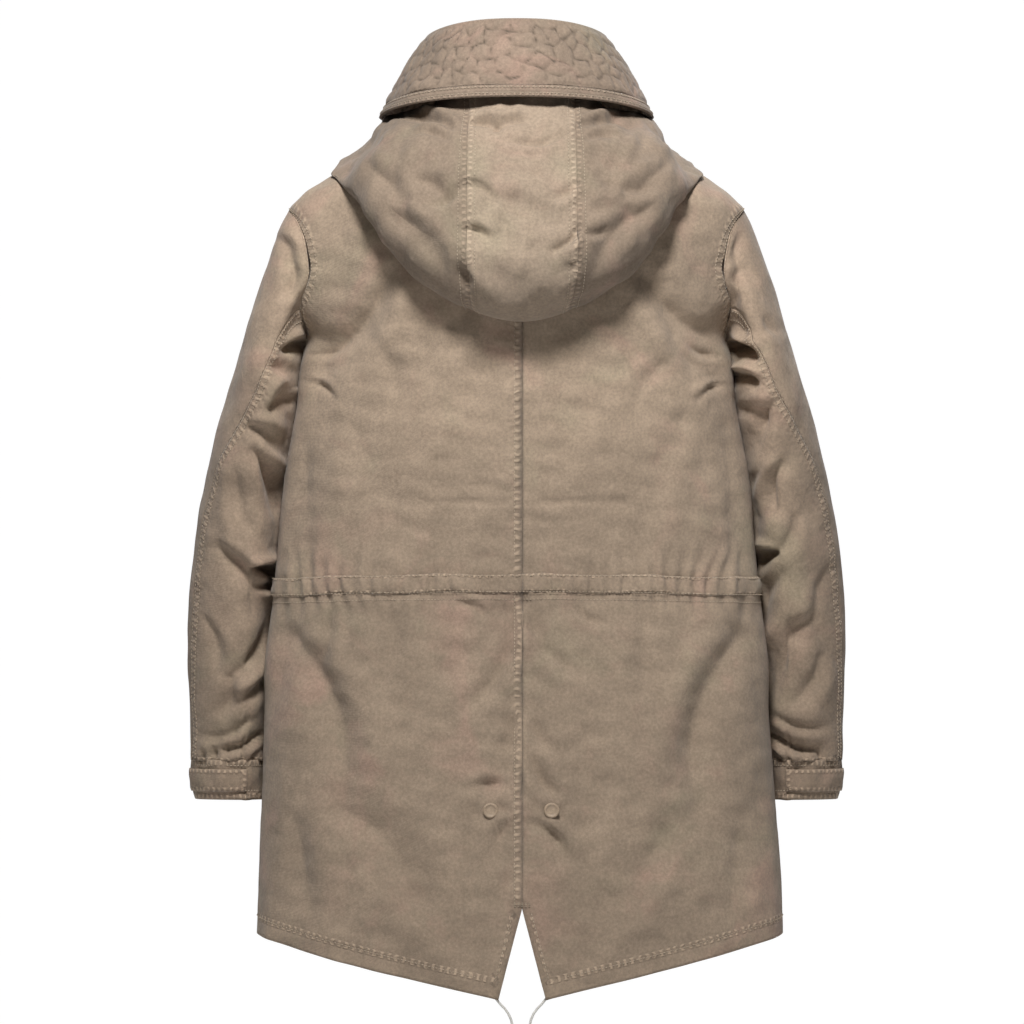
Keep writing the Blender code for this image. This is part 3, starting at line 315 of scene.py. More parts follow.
RIGHT_SLEEVE_CREASES = table(
    CREASE_COLUMNS,
    (-0.227, -0.115, -0.226, -0.149, 0.0090, -0.0030, -0.5),    # sleeve head
    (-0.226, -0.149, -0.220, -0.182, 0.0100, -0.0045, -0.4),
    (-0.230, -0.230, -0.212, -0.226, 0.0060, -0.0050, -0.6),    # the dark corner at the armpit
    (-0.250, -0.198, -0.266, -0.214, 0.0070, -0.0020, -0.5),
    (-0.210, -0.229, -0.240, -0.240, 0.0065, -0.0050, 0.6),
    (-0.214, -0.256, -0.240, -0.266, 0.0060, -0.0056, 0.7),
    (-0.222, -0.290, -0.252, -0.305, 0.0090, -0.0030, 0.4),
    (-0.262, -0.282, -0.240, -0.330, 0.0100, -0.0026, -0.4),
    (-0.268, -0.344, -0.258, -0.395, 0.0080, -0.0044, -0.6),
    (-0.250, -0.350, -0.236, -0.400, 0.0080, -0.0030, -0.4),
    (-0.282, -0.400, -0.262, -0.436, 0.0080, -0.0026, 0.4),
    (-0.262, -0.436, -0.243, -0.442, 0.0060, -0.0060, -0.6),
    (-0.268, -0.455, -0.248, -0.500, 0.0100, -0.0030, -0.4),
    (-0.300, -0.500, -0.260, -0.575, 0.0140, -0.0050, -0.5),    # the deep shade above the cuff
    (-0.310, -0.540, -0.275, -0.590, 0.0090, -0.0030, 0.4),
    (-0.318, -0.450, -0.308, -0.520, 0.0080, -0.0022, -0.4),
    (-0.258, -0.621, -0.304, -0.635, 0.0045, -0.0058, -0.7),    # gathers above the cuff
    (-0.262, -0.600, -0.312, -0.612, 0.0055, -0.0028, -0.6),
    (-0.274, -0.636, -0.277, -0.646, 0.0032, -0.0026, 0.0),
    (-0.290, -0.636, -0.292, -0.646, 0.0032, -0.0026, 0.0),
    (-0.308, -0.634, -0.309, -0.646, 0.0032, -0.0024, 0.0),
)
HOOD_CREASES = table(
    CREASE_COLUMNS,
    # wavy wrinkles where the hood comes out from under the collar
    (0.112, 0.000, 0.062, -0.012, 0.0048, -0.0026, 0.7),
    (0.100, -0.016, 0.066, -0.024, 0.0044, -0.0020, 0.6),
    (0.046, -0.004, 0.016, -0.012, 0.0046, -0.0030, 0.7),
    (0.026, -0.014, -0.012, -0.004, 0.0046, -0.0026, 0.7),
    (0.010, -0.022, -0.046, -0.016, 0.0044, -0.0020, -0.6),
    (-0.064, -0.008, -0.115, -0.008, 0.0048, -0.0026, 0.7),
    (-0.070, -0.022, -0.100, -0.020, 0.0044, -0.0018, 0.6),
    # pulls beside the two seams
    (0.053, -0.067, 0.026, -0.078, 0.0048, -0.0022, 0.7),
    (0.056, -0.072, 0.088, -0.090, 0.0050, -0.0020, 0.6),
    (-0.060, -0.068, -0.034, -0.082, 0.0048, -0.0022, 0.7),
    (-0.062, -0.112, -0.036, -0.136, 0.0048, -0.0030, 0.8),
    (-0.062, -0.140, -0.036, -0.158, 0.0050, -0.0020, 0.6),
    (0.053, -0.112, 0.028, -0.122, 0.0048, -0.0022, 0.7),
    (0.058, -0.152, 0.050, -0.172, 0.0070, -0.0034, 0.6),
    (-0.066, -0.118, -0.090, -0.112, 0.0050, -0.0020, -0.6),
    # soft rolls that follow the lower edge
    (0.130, -0.095, 0.072, -0.160, 0.0120, -0.0030, 0.5),
    (-0.135, -0.090, -0.078, -0.160, 0.0120, -0.0030, -0.5),
    (0.030, -0.084, -0.026, -0.100, 0.0110, -0.0014, 0.5),
    (0.036, -0.150, -0.020, -0.166, 0.0120, -0.0014, -0.5),
    (0.100, -0.062, 0.066, -0.086, 0.0080, -0.0016, 0.5),
    (-0.140, -0.070, -0.080, -0.060, 0.0090, -0.0018, 0.5),
    (-0.128, -0.096, -0.078, -0.094, 0.0080, -0.0016, -0.5),
    (0.146, -0.050, 0.110, -0.110, 0.0110, -0.0020, 0.4),
    (-0.148, -0.050, -0.112, -0.105, 0.0110, -0.0020, -0.4),
    (0.020, -0.030, 0.010, -0.130, 0.0200, -0.0014, 0.0),
    (0.095, -0.040, 0.085, -0.100, 0.0160, -0.0014, 0.0),
    (-0.098, -0.040, -0.090, -0.110, 0.0160, -0.0014, 0.0),
)

# ------------------------------------------------------------------ curves and forms

def read(rows, key, column, at):
    """A smooth curve through one column of a table, held level past its two ends."""
    order = np.argsort(rows[key])
    known = rows[key][order]
    value = rows[column][order]
    slope = np.gradient(value, known)
    at = np.clip(at, known[0], known[-1])
    i = np.clip(np.searchsorted(known, at, side="right") - 1, 0, len(known) - 2)
    span = known[i + 1] - known[i]
    t = (at - known[i]) / span
    return (value[i] * (1 + 2 * t) * (1 - t) ** 2 + value[i + 1] * t * t * (3 - 2 * t)
            + span * (slope[i] * t * (1 - t) ** 2 - slope[i + 1] * t * t * (1 - t)))


def signed_power(value, power):
    return np.sign(value) * np.abs(value) ** power


def unit(vectors):
    return vectors / np.maximum(np.linalg.norm(vectors, axis=-1, keepdims=True), 1e-9)


def blend(first, second, share):
    return first + (second - first) * share


def smooth_step(low, high, value):
    share = np.clip((value - low) / (high - low), 0, 1)
    return share * share * (3 - 2 * share)


def body_form(angle, level):
    angle, level = np.broadcast_arrays(np.asarray(angle, float), np.asarray(level, float))
    across, along = np.cos(angle), np.sin(angle)
    power = 2 / read(BODY, "level", "square", level)
    behind = along >= 0
    depth = np.where(behind, read(BODY, "level", "back", level), read(BODY, "level", "front", level))
    lift = np.where(behind, read(BODY, "level", "back_lift", level),
                    read(BODY, "level", "front_lift", level))
    x = read(BODY, "level", "width", level) * signed_power(across, power)
    y = read(BODY, "level", "side_y", level) + depth * signed_power(along, power)
    return np.stack([x, y, level + lift * along ** 2], axis=-1)


def body_normal(angle, level):
    turn, drop = 0.02, 0.002
    round_it = body_form(angle + turn, level) - body_form(angle - turn, level)
    down_it = body_form(angle, level - drop) - body_form(angle, level + drop)
    return unit(np.cross(down_it, round_it))


def angle_at_x(x, level):
    share = np.clip(x / read(BODY, "level", "width", level), -1, 1)
    return np.arccos(signed_power(share, read(BODY, "level", "square", level) / 2))


def armhole_level(turn):
    return blend(SHOULDER_TIP, UNDERARM, (1 - np.cos(np.radians(turn))) / 2)


def armhole_angle(turn, side):
    level = armhole_level(turn)
    away = np.maximum(0.0, read(ARMHOLE, "turn", side, turn))
    share = away / read(BODY, "level", side, level)
    return np.arcsin(share ** (read(BODY, "level", "square", level) / 2))


def crease_height(points, creases, reach=1.0):
    """How far the listed creases move the cloth out, by a point's x and z."""
    height = np.zeros(points.shape[:-1])
    ends = zip(creases["x0"], creases["z0"], creases["x1"], creases["z1"])
    for (x0, z0, x1, z1), width, rise, lip in zip(ends, creases["width"], creases["height"],
                                                  creases["lip"]):
        start, run = np.array([x0, z0]), np.array([x1 - x0, z1 - z0])
        length = np.linalg.norm(run)
        from_start = points[..., [0, 2]] - start
        share = (from_start @ run) / length ** 2
        bow = 0.12 * length * np.sin(np.pi * np.clip(share, 0, 1)) * np.sign(lip)
        beside = (from_start[..., 0] * run[1] - from_start[..., 1] * run[0]) / length - bow
        past = length * (np.maximum(-share, 0) + np.maximum(share - 1, 0))
        width = 0.85 * width * reach * (0.75 + 0.5 * np.clip(share, 0, 1))
        away = np.sqrt(beside ** 2 + past ** 2) / width
        fade = np.sin(np.pi * np.clip(0.15 + 0.70 * share, 0, 1))
        ridge_side = np.sign(lip) * beside / width
        ridge = abs(lip) * np.exp(-(ridge_side - 1.9) ** 2 - (past / width) ** 2)
        height += rise * fade * (np.exp(-away ** 1.5) - ridge)
    return height


def rumple(points, wave, seed, waves=14):
    """A soft unevenness of height about 1, made of waves that run every way over the cloth."""
    dice = np.random.default_rng(seed)
    height = np.zeros(points.shape[:-1])
    for _ in range(waves):
        direction = unit(dice.normal(size=3) * (1, 0.6, 1))
        length = wave * dice.uniform(0.6, 1.8)
        bend = 0.4 * np.sin(points @ (dice.normal(size=3) * 2.2 / wave))
        height += np.sin(points @ direction * math.tau / length + bend + dice.uniform(0, math.tau))
    return height / math.sqrt(waves)


# ------------------------------------------------------------------ materials

def srgb(red, green, blue):
    """A colour given as screen values from 0 to 255."""
    share = np.array([red, green, blue]) / 255
    linear = np.where(share <= 0.04045, share / 12.92, ((share + 0.055) / 1.055) ** 2.4)
    return (*linear.tolist(), 1.0)


class Nodes:
    """Adds shader nodes to a tree and links them."""

    def __init__(self, tree):
        self.tree = tree

    def add(self, kind, inputs=(), **settings):
        node = self.tree.nodes.new(kind)
        for name, value in settings.items():
            setattr(node, name, value)
        for name, value in dict(inputs).items():
            if isinstance(value, bpy.types.NodeSocket):
                self.tree.links.new(value, node.inputs[name])
            else:
                node.inputs[name].default_value = value
        return node

    def math(self, operation, first, second=0.0, third=0.0):
        return self.add("ShaderNodeMath", {0: first, 1: second, 2: third}, operation=operation).outputs[0]

    def noise(self, vector, scale, detail=2.0, roughness=0.5, distortion=0.0):
        made = self.add("ShaderNodeTexNoise", {"Vector": vector, "Scale": scale, "Detail": detail,
                                               "Roughness": roughness, "Distortion": distortion})
        return made.outputs["Fac"]

    def between(self, value, low, high, to_low=0.0, to_high=1.0):
        made = self.add("ShaderNodeMapRange", {"Value": value, "From Min": low, "From Max": high,
                                               "To Min": to_low, "To Max": to_high},
                        interpolation_type="SMOOTHSTEP")
        return made.outputs["Result"]

    def mix(self, share, first, second, blend_type="MIX"):
        made = self.add("ShaderNodeMix", {0: share, 6: first, 7: second}, data_type="RGBA",
                        blend_type=blend_type)
        return made.outputs[2]


def group(name, inputs, outputs):
    """A shader node group with named sockets."""
    tree = bpy.data.node_groups.new(name, "ShaderNodeTree")
    for socket, kind in inputs:
        tree.interface.new_socket(socket, in_out="INPUT", socket_type=kind)
    for socket, kind in outputs:
        tree.interface.new_socket(socket, in_out="OUTPUT", socket_type=kind)
    nodes = Nodes(tree)
    return tree, nodes, nodes.add("NodeGroupInput").outputs, nodes.add("NodeGroupOutput").inputs


def weave_group():
    """The twill's fine diagonal ribs and its slubs, by a place on the cloth in metres."""
    tree, nodes, given, made = group("twill_weave", [("Place", "NodeSocketVector")],
                                     [("Height", "NodeSocketFloat")])
    rib = nodes.add("ShaderNodeTexWave", {"Vector": given["Place"], "Scale": 230.0, "Distortion": 1.2,
                                          "Detail": 1.0, "Detail Scale": 3.0}, bands_direction="DIAGONAL")
    slub = nodes.noise(given["Place"], 900.0, 2.0)
    tree.links.new(nodes.math("MULTIPLY_ADD", rib.outputs["Fac"], 0.5, slub), made["Height"])
    return tree


def crumple_group():
    """The small soft wrinkles that washing leaves, a few millimetres to a few centimetres wide."""
    tree, nodes, given, made = group("washed_crumple", [("Place", "NodeSocketVector")],
                                     [("Height", "NodeSocketFloat")])
    wide = nodes.noise(given["Place"], 15.0, 2.0, 0.5)
    small = nodes.noise(given["Place"], 62.0, 2.0, 0.5)
    tree.links.new(nodes.math("MULTIPLY_ADD", small, 0.38, wide), made["Height"])
    return tree


def seam_group():
    """A washed seam: a ditch at the join, a puckered ridge up to its stitches, a groove there.

    Near is the distance from the join as a share of the ridge's width, Run is the length along
    the seam in metres.
    """
    tree, nodes, given, made = group(
        "washed_seam", [("Near", "NodeSocketFloat"), ("Run", "NodeSocketFloat"),
                        ("Pucker Pitch", "NodeSocketFloat"), ("Ditch", "NodeSocketFloat")],
        [("Height", "NodeSocketFloat"), ("Wear And Highlight", "NodeSocketFloat"), ("Hollow Shade", "NodeSocketFloat")])
    near = given["Near"]
    ditch = nodes.math("MULTIPLY", nodes.between(near, 0.0, 0.24, 1.0, 0.0), given["Ditch"])
    ridge = nodes.math("MULTIPLY", nodes.between(near, -0.1, 0.6),
                       nodes.between(near, 0.85, 1.35, 1.0, 0.0))
    turns = nodes.math("MULTIPLY", nodes.math("DIVIDE", given["Run"], given["Pucker Pitch"]), math.tau)
    place = nodes.add("ShaderNodeCombineXYZ", {"X": given["Run"], "Y": nodes.math("MULTIPLY", near, 0.01)})
    uneven = nodes.noise(place.outputs["Vector"], 60.0, 2.0)
    wave = nodes.math("SINE", nodes.math("MULTIPLY_ADD", uneven, 7.0, turns))
    beads = nodes.between(wave, -0.5, 0.9)
    puckers = nodes.math("MULTIPLY", ridge, nodes.math("MULTIPLY_ADD", beads, 0.75, 0.25))
    outside = nodes.math("MULTIPLY", nodes.between(near, 0.9, 1.2),
                         nodes.between(near, 1.2, 2.2, 1.0, 0.0))
    echo = nodes.math("MULTIPLY", outside, nodes.math("MULTIPLY_ADD", beads, -0.35, 0.0))
    height = nodes.math("ADD", nodes.math("SUBTRACT", puckers, ditch), echo)
    tree.links.new(height, made["Height"])
    # Wear and painted highlight: the tops of the beads are made lighter.
    tree.links.new(nodes.math("MULTIPLY", puckers, beads), made["Wear And Highlight"])
    # Painted shade: the ditch and the hollows between the beads are made darker.
    between_beads = nodes.math("MULTIPLY", ridge, nodes.math("SUBTRACT", 1.0, beads))
    tree.links.new(nodes.math("ADD", ditch, between_beads), made["Hollow Shade"])
    return tree


def dye_and_shade_group():
    """How the washed dye varies: broad clouds, faint pink and green casts, and fine fading.

    It is also darkened towards the bottom as painted shade: it keeps its full lightness above the height
    High, and Share Low of it below Low.
    """
    tree, nodes, given, made = group(
        "washed_dye_and_painted_shade", [("Place", "NodeSocketVector"), ("Cloth", "NodeSocketColor"),
                       ("Low", "NodeSocketFloat"), ("High", "NodeSocketFloat"),
                       ("Share Low", "NodeSocketFloat")],
        [("Color", "NodeSocketColor")])
    clouds = nodes.between(nodes.noise(given["Place"], 7.0, 4.0, 0.6, 0.4), 0.30, 0.72, 0.90, 1.09)
    pink = nodes.between(nodes.noise(given["Place"], 13.0, 3.0, 0.55, 0.8), 0.52, 0.78, 0.0, 0.30)
    green = nodes.between(nodes.noise(given["Place"], 10.0, 3.0, 0.55, 0.5), 0.22, 0.46, 0.22, 0.0)
    fade = nodes.between(nodes.noise(given["Place"], 330.0, 4.0, 0.7), 0.25, 0.80, 0.82, 1.18)
    mottle = nodes.between(nodes.noise(given["Place"], 48.0, 4.0, 0.62, 0.5), 0.28, 0.74, 0.92, 1.08)
    colour = nodes.mix(pink, given["Cloth"], srgb(178, 138, 124))
    colour = nodes.mix(green, colour, srgb(140, 140, 112))
    height = nodes.add("ShaderNodeSeparateXYZ", {"Vector": given["Place"]}).outputs["Z"]
    # Painted shade: the cloth is made darker towards the bottom, from the height High down to Low.
    washed = nodes.between(height, given["Low"], given["High"], given["Share Low"], 1.0)
    light = nodes.math("MULTIPLY", nodes.math("MULTIPLY", clouds, fade),
                       nodes.math("MULTIPLY", mottle, washed))
    grey = nodes.add("ShaderNodeCombineColor", {"Red": light, "Green": light, "Blue": light})
    tree.links.new(nodes.mix(1.0, colour, grey.outputs["Color"], "MULTIPLY"), made["Color"])
    return tree


WEAVE, CRUMPLE, SEAM, DYE_AND_SHADE = weave_group(), crumple_group(), seam_group(), dye_and_shade_group()


def shaded_by(colour, share):
    """A colour made darker or lighter by a share of itself."""
    return tuple(min(1.0, c * share) for c in colour[:3]) + (1.0,)


class Finish(Nodes):
    """A new material's nodes, with its shader and the place on the object that they start from."""

    def __init__(self, name):
        self.material = bpy.data.materials.new(name)
        self.material.use_nodes = True
        super().__init__(self.material.node_tree)
        self.shader = self.tree.nodes["Principled BSDF"]

    def place(self):
        return self.add("ShaderNodeTexCoord").outputs["Object"]

    def marked(self, attribute):
        return self.add("ShaderNodeAttribute", attribute_name=attribute).outputs["Fac"]

    def bump(self, height, distance, **under):
        inputs = {"Height": height, "Distance": distance, "Strength": 1.0, **under}
        return self.add("ShaderNodeBump", inputs).outputs["Normal"]

    def give(self, **sockets):
        """Sets or links the shader's sockets, named with _ for a space."""
        for name, value in sockets.items():
            socket = self.shader.inputs[name.replace("_", " ")]
            if isinstance(value, bpy.types.NodeSocket):
                self.tree.links.new(value, socket)
            else:
                socket.default_value = value
        return self.material


def cloth_material(name, colour, crumple=1.0, pitch=0.0077, ditch=0.08, painted_shade_heights=(-0.55, -0.22, 0.80)):
    """The washed cotton, with its seams read from the mesh's own attributes. Its colour carries painted
    shade: darker towards the bottom, in the seams' hollows and along the quilted lines, with painted
    highlights on the seams' beads.
    """
    nodes = Finish(name)
    place = nodes.place()
    weave = nodes.add("ShaderNodeGroup", {"Place": place}, node_tree=WEAVE)
    crumpled = nodes.add("ShaderNodeGroup", {"Place": place}, node_tree=CRUMPLE)
    near, run = nodes.marked("seam_near"), nodes.marked("seam_run")
    sewn = nodes.add("ShaderNodeGroup", {"Near": near, "Run": run, "Pucker Pitch": pitch,
                                         "Ditch": ditch}, node_tree=SEAM)
    low, high, share_low = painted_shade_heights
    dyed_and_shaded = nodes.add("ShaderNodeGroup", {"Place": place, "Cloth": colour, "Low": low, "High": high,
                                         "Share Low": share_low}, node_tree=DYE_AND_SHADE)
    # The seams' beads lightened, as wear and painted highlight.
    worn_and_lit = nodes.mix(nodes.math("MULTIPLY", sewn.outputs["Wear And Highlight"], 0.50), dyed_and_shaded.outputs["Color"],
                     shaded_by(colour, 1.6))
    # Painted shade in the seams' ditches, between their beads, and along the collar's quilted lines.
    dark = nodes.math("MAXIMUM", nodes.math("MULTIPLY", sewn.outputs["Hollow Shade"], 0.15),
                      nodes.math("MULTIPLY", nodes.marked("quilt_line_shade"), 1.30))
    fine = nodes.bump(weave.outputs["Height"], 0.00012)
    soft = nodes.bump(crumpled.outputs["Height"], 0.0032 * crumple, Normal=fine)
    sewing = nodes.bump(sewn.outputs["Height"], 0.0007, Normal=soft)
    rough = nodes.between(nodes.noise(place, 120.0, 2.0), 0.3, 0.7, 0.84, 0.94)
    return nodes.give(Base_Color=nodes.mix(dark, worn_and_lit, shaded_by(colour, 0.42)), Normal=sewing,
                      Roughness=rough, Sheen_Weight=0.10, Sheen_Roughness=0.6, Specular_IOR_Level=0.22)


def thread_material(name, colour):
    """Spun thread: fine turns of colour along it, and matt."""
    nodes = Finish(name)
    spun = nodes.noise(nodes.place(), 1400.0, 3.0, 0.6)
    turns = nodes.mix(nodes.between(spun, 0.35, 0.65), shaded_by(colour, 0.72), colour)
    return nodes.give(Base_Color=turns, Normal=nodes.bump(spun, 0.0002), Roughness=0.85)


def snap_material(name, colour):
    """Painted metal caps in the cloth's colour, rubbed lighter and smoother in places."""
    nodes = Finish(name)
    rubbed = nodes.between(nodes.noise(nodes.place(), 420.0, 4.0, 0.65), 0.45, 0.72)
    return nodes.give(Base_Color=nodes.mix(rubbed, colour, shaded_by(colour, 1.35)),
                      Roughness=nodes.between(rubbed, 0.0, 1.0, 0.62, 0.45),
                      Normal=nodes.bump(rubbed, 0.0001))


BODY_TAUPE = srgb(150, 132, 113)
SLEEVE_TAUPE = srgb(151, 132, 113)
# Painted shade: the collar is a darker copy of the cotton, against the light on its top.
COLLAR_SHADED_TAUPE = srgb(126, 110, 95)
HOOD_TAUPE = srgb(148, 131, 113)
# Painted shade: the hood's side panels are a darker copy of the cotton, for the shade on their sides that
# turn away.
HOOD_SIDE_SHADED_TAUPE = srgb(129, 113, 97)
MATERIALS = {
    "body": cloth_material("body_cotton", BODY_TAUPE, crumple=1.15),
    "front": cloth_material("front_cotton", BODY_TAUPE),
    "sleeve": cloth_material("sleeve_cotton", SLEEVE_TAUPE, crumple=1.45, ditch=0.15),
    # The hood's panels take painted shade towards their lower edge, through the heights given here.
    "hood": cloth_material("hood_cotton", HOOD_TAUPE, crumple=1.1, pitch=0.0066, ditch=0.0,
                           painted_shade_heights=(-0.205, -0.125, 0.80)),
    "hood_side": cloth_material("hood_side_shaded_cotton", HOOD_SIDE_SHADED_TAUPE, crumple=1.2, pitch=0.0066, ditch=0.0,
                                painted_shade_heights=(-0.185, -0.095, 0.82)),
    "collar": cloth_material("collar_shaded_cotton", COLLAR_SHADED_TAUPE, crumple=0.8, pitch=0.0060),
    "channel": cloth_material("channel_cotton", BODY_TAUPE, crumple=1.3, pitch=0.0062, ditch=0.0),
    "cuff": cloth_material("cuff_cotton", SLEEVE_TAUPE, crumple=1.0, pitch=0.0062),
    "thread": thread_material("topstitch_thread", srgb(176, 160, 140)),
    "snap": snap_material("snap_paint", srgb(140, 122, 102)),
    "cord": thread_material("cord_braid", srgb(205, 202, 196)),
}

# ------------------------------------------------------------------ meshes

def link(name, data, material):
    made = bpy.data.objects.new(name, data)
    bpy.context.scene.collection.objects.link(made)
    data.materials.append(material)
    return made


def mesh_of(name, points, faces, material):
    """A smooth mesh from its points and faces."""
    mesh = bpy.data.meshes.new(name)
    mesh.from_pydata([tuple(p) for p in points], [], faces)
    mesh.shade_smooth()
    return link(name, mesh, MATERIALS[material])


def mark(made, attribute, values):
    """Marks each point of a mesh with a value that its material reads."""
    made.data.attributes.new(attribute, "FLOAT", "POINT").data.foreach_set("value", values)


def join_part(made, nodes):
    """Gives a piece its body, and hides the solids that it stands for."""
    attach(made, "root")
    if nodes:
        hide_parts(*nodes)
    return made


def runs_along(line):
    """The length from a line's first point to each of its points."""
    return np.concatenate([[0.0], np.cumsum(np.linalg.norm(np.diff(line, axis=0), axis=1))])


def nearest_seam(points, seams):
    """For each point, the distance to its nearest seam as a share of that seam's width, and how
    far along the seam it is. A seam is a line of points and a width."""
    flat = points.reshape(-1, 3)
    near = np.full(len(flat), 9.0)
    run = np.zeros(len(flat))
    for line, width in seams:
        along = runs_along(line)
        low, high = line.min(0) - 3 * width, line.max(0) + 3 * width
        inside = np.nonzero(((flat > low) & (flat < high)).all(-1))[0]
        best = np.full(len(inside), np.inf)
        best_run = np.zeros(len(inside))
        for i in range(len(line) - 1):
            span = line[i + 1] - line[i]
            reach = (flat[inside] - line[i]) @ span / max(span @ span, 1e-12)
            share = np.clip(reach, 0, 1)
            away = np.linalg.norm(flat[inside] - line[i] - share[:, None] * span, axis=1)
            past_ends = (reach < 0) & (i == 0) | (reach > 1) & (i == len(line) - 2)
            away = np.where(past_ends, np.inf, away)
            closer = away < best
            best = np.where(closer, away, best)
            best_run = np.where(closer, along[i] + share * (along[i + 1] - along[i]), best_run)
        closer = best / width < near[inside]
        near[inside] = np.where(closer, best / width, near[inside])
        run[inside] = np.where(closer, best_run, run[inside])
    return near, run


def shell(name, grid, material, nodes, facing, cloth=CLOTH, seams=(), around=False):
    """A cloth shell on a grid of points, facing out that way, with its thickness inwards."""
    rows, columns = grid.shape[:2]
    index = np.arange(rows * columns).reshape(rows, columns)
    if around:
        index = np.concatenate([index, index[:, :1]], axis=1)
    faces = np.stack([index[:-1, :-1], index[1:, :-1], index[1:, 1:], index[:-1, 1:]], axis=-1)
    if (grid_normals(grid) * facing).sum(-1).mean() < 0:
        faces = faces[..., ::-1]
    made = mesh_of(name, grid.reshape(-1, 3).tolist(), faces.reshape(-1, 4).tolist(), material)
    near, run = nearest_seam(grid, [(line[::3] if len(line) > 60 else line, width) for line, width in seams])
    mark(made, "seam_near", near)
    mark(made, "seam_run", run)
    thick = made.modifiers.new("cloth", "SOLIDIFY")
    thick.thickness = cloth
    thick.offset = -1.0
    thick.use_even_offset = False
    return join_part(made, nodes)


def grid_normals(grid):
    across = np.gradient(grid, axis=1)
    down = np.gradient(grid, axis=0)
    return unit(np.cross(down, across))


STITCH_LINES = {}


def stitch_line(line, outward, owner="body"):
    """Keeps a row of topstitching to be made: its points and the cloth's outward directions."""
    STITCH_LINES.setdefault(owner, []).append((np.asarray(line), np.asarray(outward)))


# A stitch's sections: place along it, how fat it is and how high, as shares of its sizes.
STITCH_SECTIONS = ((-0.5, 0.35, -0.6), (-0.36, 0.85, 0.0), (0.0, 1.0, 0.35), (0.36, 0.85, 0.0),
                   (0.5, 0.35, -0.6))
STITCH_SIDES = 5


def at_length(along, values, length):
    """The point or direction at a length along a line."""
    return np.array([np.interp(length, along, values[:, k]) for k in range(3)])


def stitch_points(centre, forward, up):
    beside = np.cross(up, forward)
    return [centre + forward * place * STITCH
            + beside * math.cos(turn) * fat * THREAD_RADIUS
            + up * (math.sin(turn) * fat + lift) * THREAD_RADIUS
            for place, fat, lift in STITCH_SECTIONS
            for turn in np.arange(STITCH_SIDES) * math.tau / STITCH_SIDES]


def ring_faces(first, rings, sides):
    """Faces between rings of points that follow each other, from a first point on."""
    faces = []
    for start in range(first, first + (rings - 1) * sides, sides):
        for i in range(sides):
            a, b = start + i, start + (i + 1) % sides
            faces.append((a, b, b + sides, a + sides))
    return faces


def build_stitches(owner):
    """All the stitches of one owner, each a small flattened bead of thread sunk at both ends."""
    points, faces = [], []
    for line, outward in STITCH_LINES[owner]:
        along = runs_along(line)
        for middle in np.arange(STITCH_PITCH / 2, along[-1], STITCH_PITCH):
            first = len(points)
            forward = unit(at_length(along, line, middle + 0.001) - at_length(along, line, middle - 0.001))
            up = unit(at_length(along, outward, middle))
            points += stitch_points(at_length(along, line, middle), forward, up)
            faces += ring_faces(first, len(STITCH_SECTIONS), STITCH_SIDES)
    join_part(mesh_of("stitches_" + owner, points, faces, "thread"), [])


# ------------------------------------------------------------------ body

def back_hem(angle):
    across = np.abs(np.cos(angle)) ** (2 / read(BODY, "level", "square", SIDE_HEM))
    return blend(SIDE_HEM, TAIL_TIP, (1 - across) ** 0.85)


def vent_half(level):
    return VENT_HALF_AT_TIP * np.clip((VENT_TOP - level) / (VENT_TOP - TAIL_TIP), 0, 1)


def channel_level(angle, side):
    return CHANNEL_MIDDLE + CHANNEL_RISE * np.sin(angle) ** 2 + side * CHANNEL_HALF_HEIGHT


def body_height(points):
    """The creases, lumps and wear of the body's cloth, which differ from back to front."""
    behind = smooth_step(-0.02, 0.05, points[..., 1])
    front = points * (-1.0, 1.0, 1.0) + (0.012, 0.0, -0.015)
    creases = behind * crease_height(points, BODY_CREASES)
    creases = creases + (1 - behind) * 0.7 * crease_height(front, BODY_CREASES, 1.15)
    under_hood = 1 - smooth_step(-0.20, -0.10, points[..., 2])
    lumps = 0.0017 * rumple(points, 0.090, 3) + 0.0009 * rumple(points, 0.035, 4)
    pull = smooth_step(0.050, 0.004, np.abs(points[..., 2] - CHANNEL_MIDDLE - CHANNEL_RISE))
    gathers = 0.0017 * np.sin(points[..., 0] * math.tau / 0.015 + 2.2 * rumple(points, 0.09, 5, 6)) * pull
    return BODY_CREASE_DEPTH * creases * blend(0.35, 1.0, under_hood) + lumps + gathers


def body_surface(angle, level, out=0.0):
    """The body's cloth as drawn: the form with creases, moved out by a distance."""
    points = body_form(angle, level)
    facing = body_normal(angle, level)
    at_side = smooth_step(0.80, 0.98, np.abs(facing[..., 0]))
    level_drawn = points[..., 2]
    below_armpit = smooth_step(-0.205, -0.240, level_drawn) * smooth_step(-0.60, -0.54, level_drawn)
    flare = smooth_step(-0.55, -0.80, level_drawn) * np.where(points[..., 0] < 0, RIGHT_FLARE, LEFT_FLARE)
    height = body_height(points) * (1 - 0.8 * at_side) + out
    at_armpit = np.exp(-((level_drawn - ARMPIT_FILL_Z) / 0.030) ** 2) * ARMPIT_FILL
    height = height + at_side * below_armpit * (SIDE_FILL + at_armpit)
    height = height + smooth_step(0.3, 0.95, np.abs(facing[..., 0])) * flare
    return points + facing * height[..., None]


def upper_rows(side, cell):
    """Levels from the neck seam to the underarm, and the armhole's angle at each."""
    neck = np.linspace(BODY["level"][0], SHOULDER_TIP, int(NECK_TO_SHOULDER / cell))[:-1]
    turns = np.linspace(0, 180, int(ARMHOLE_LENGTH / cell))
    levels = np.concatenate([neck, armhole_level(turns)])
    angles = np.concatenate([0 * neck, armhole_angle(turns, side)])
    return levels, angles


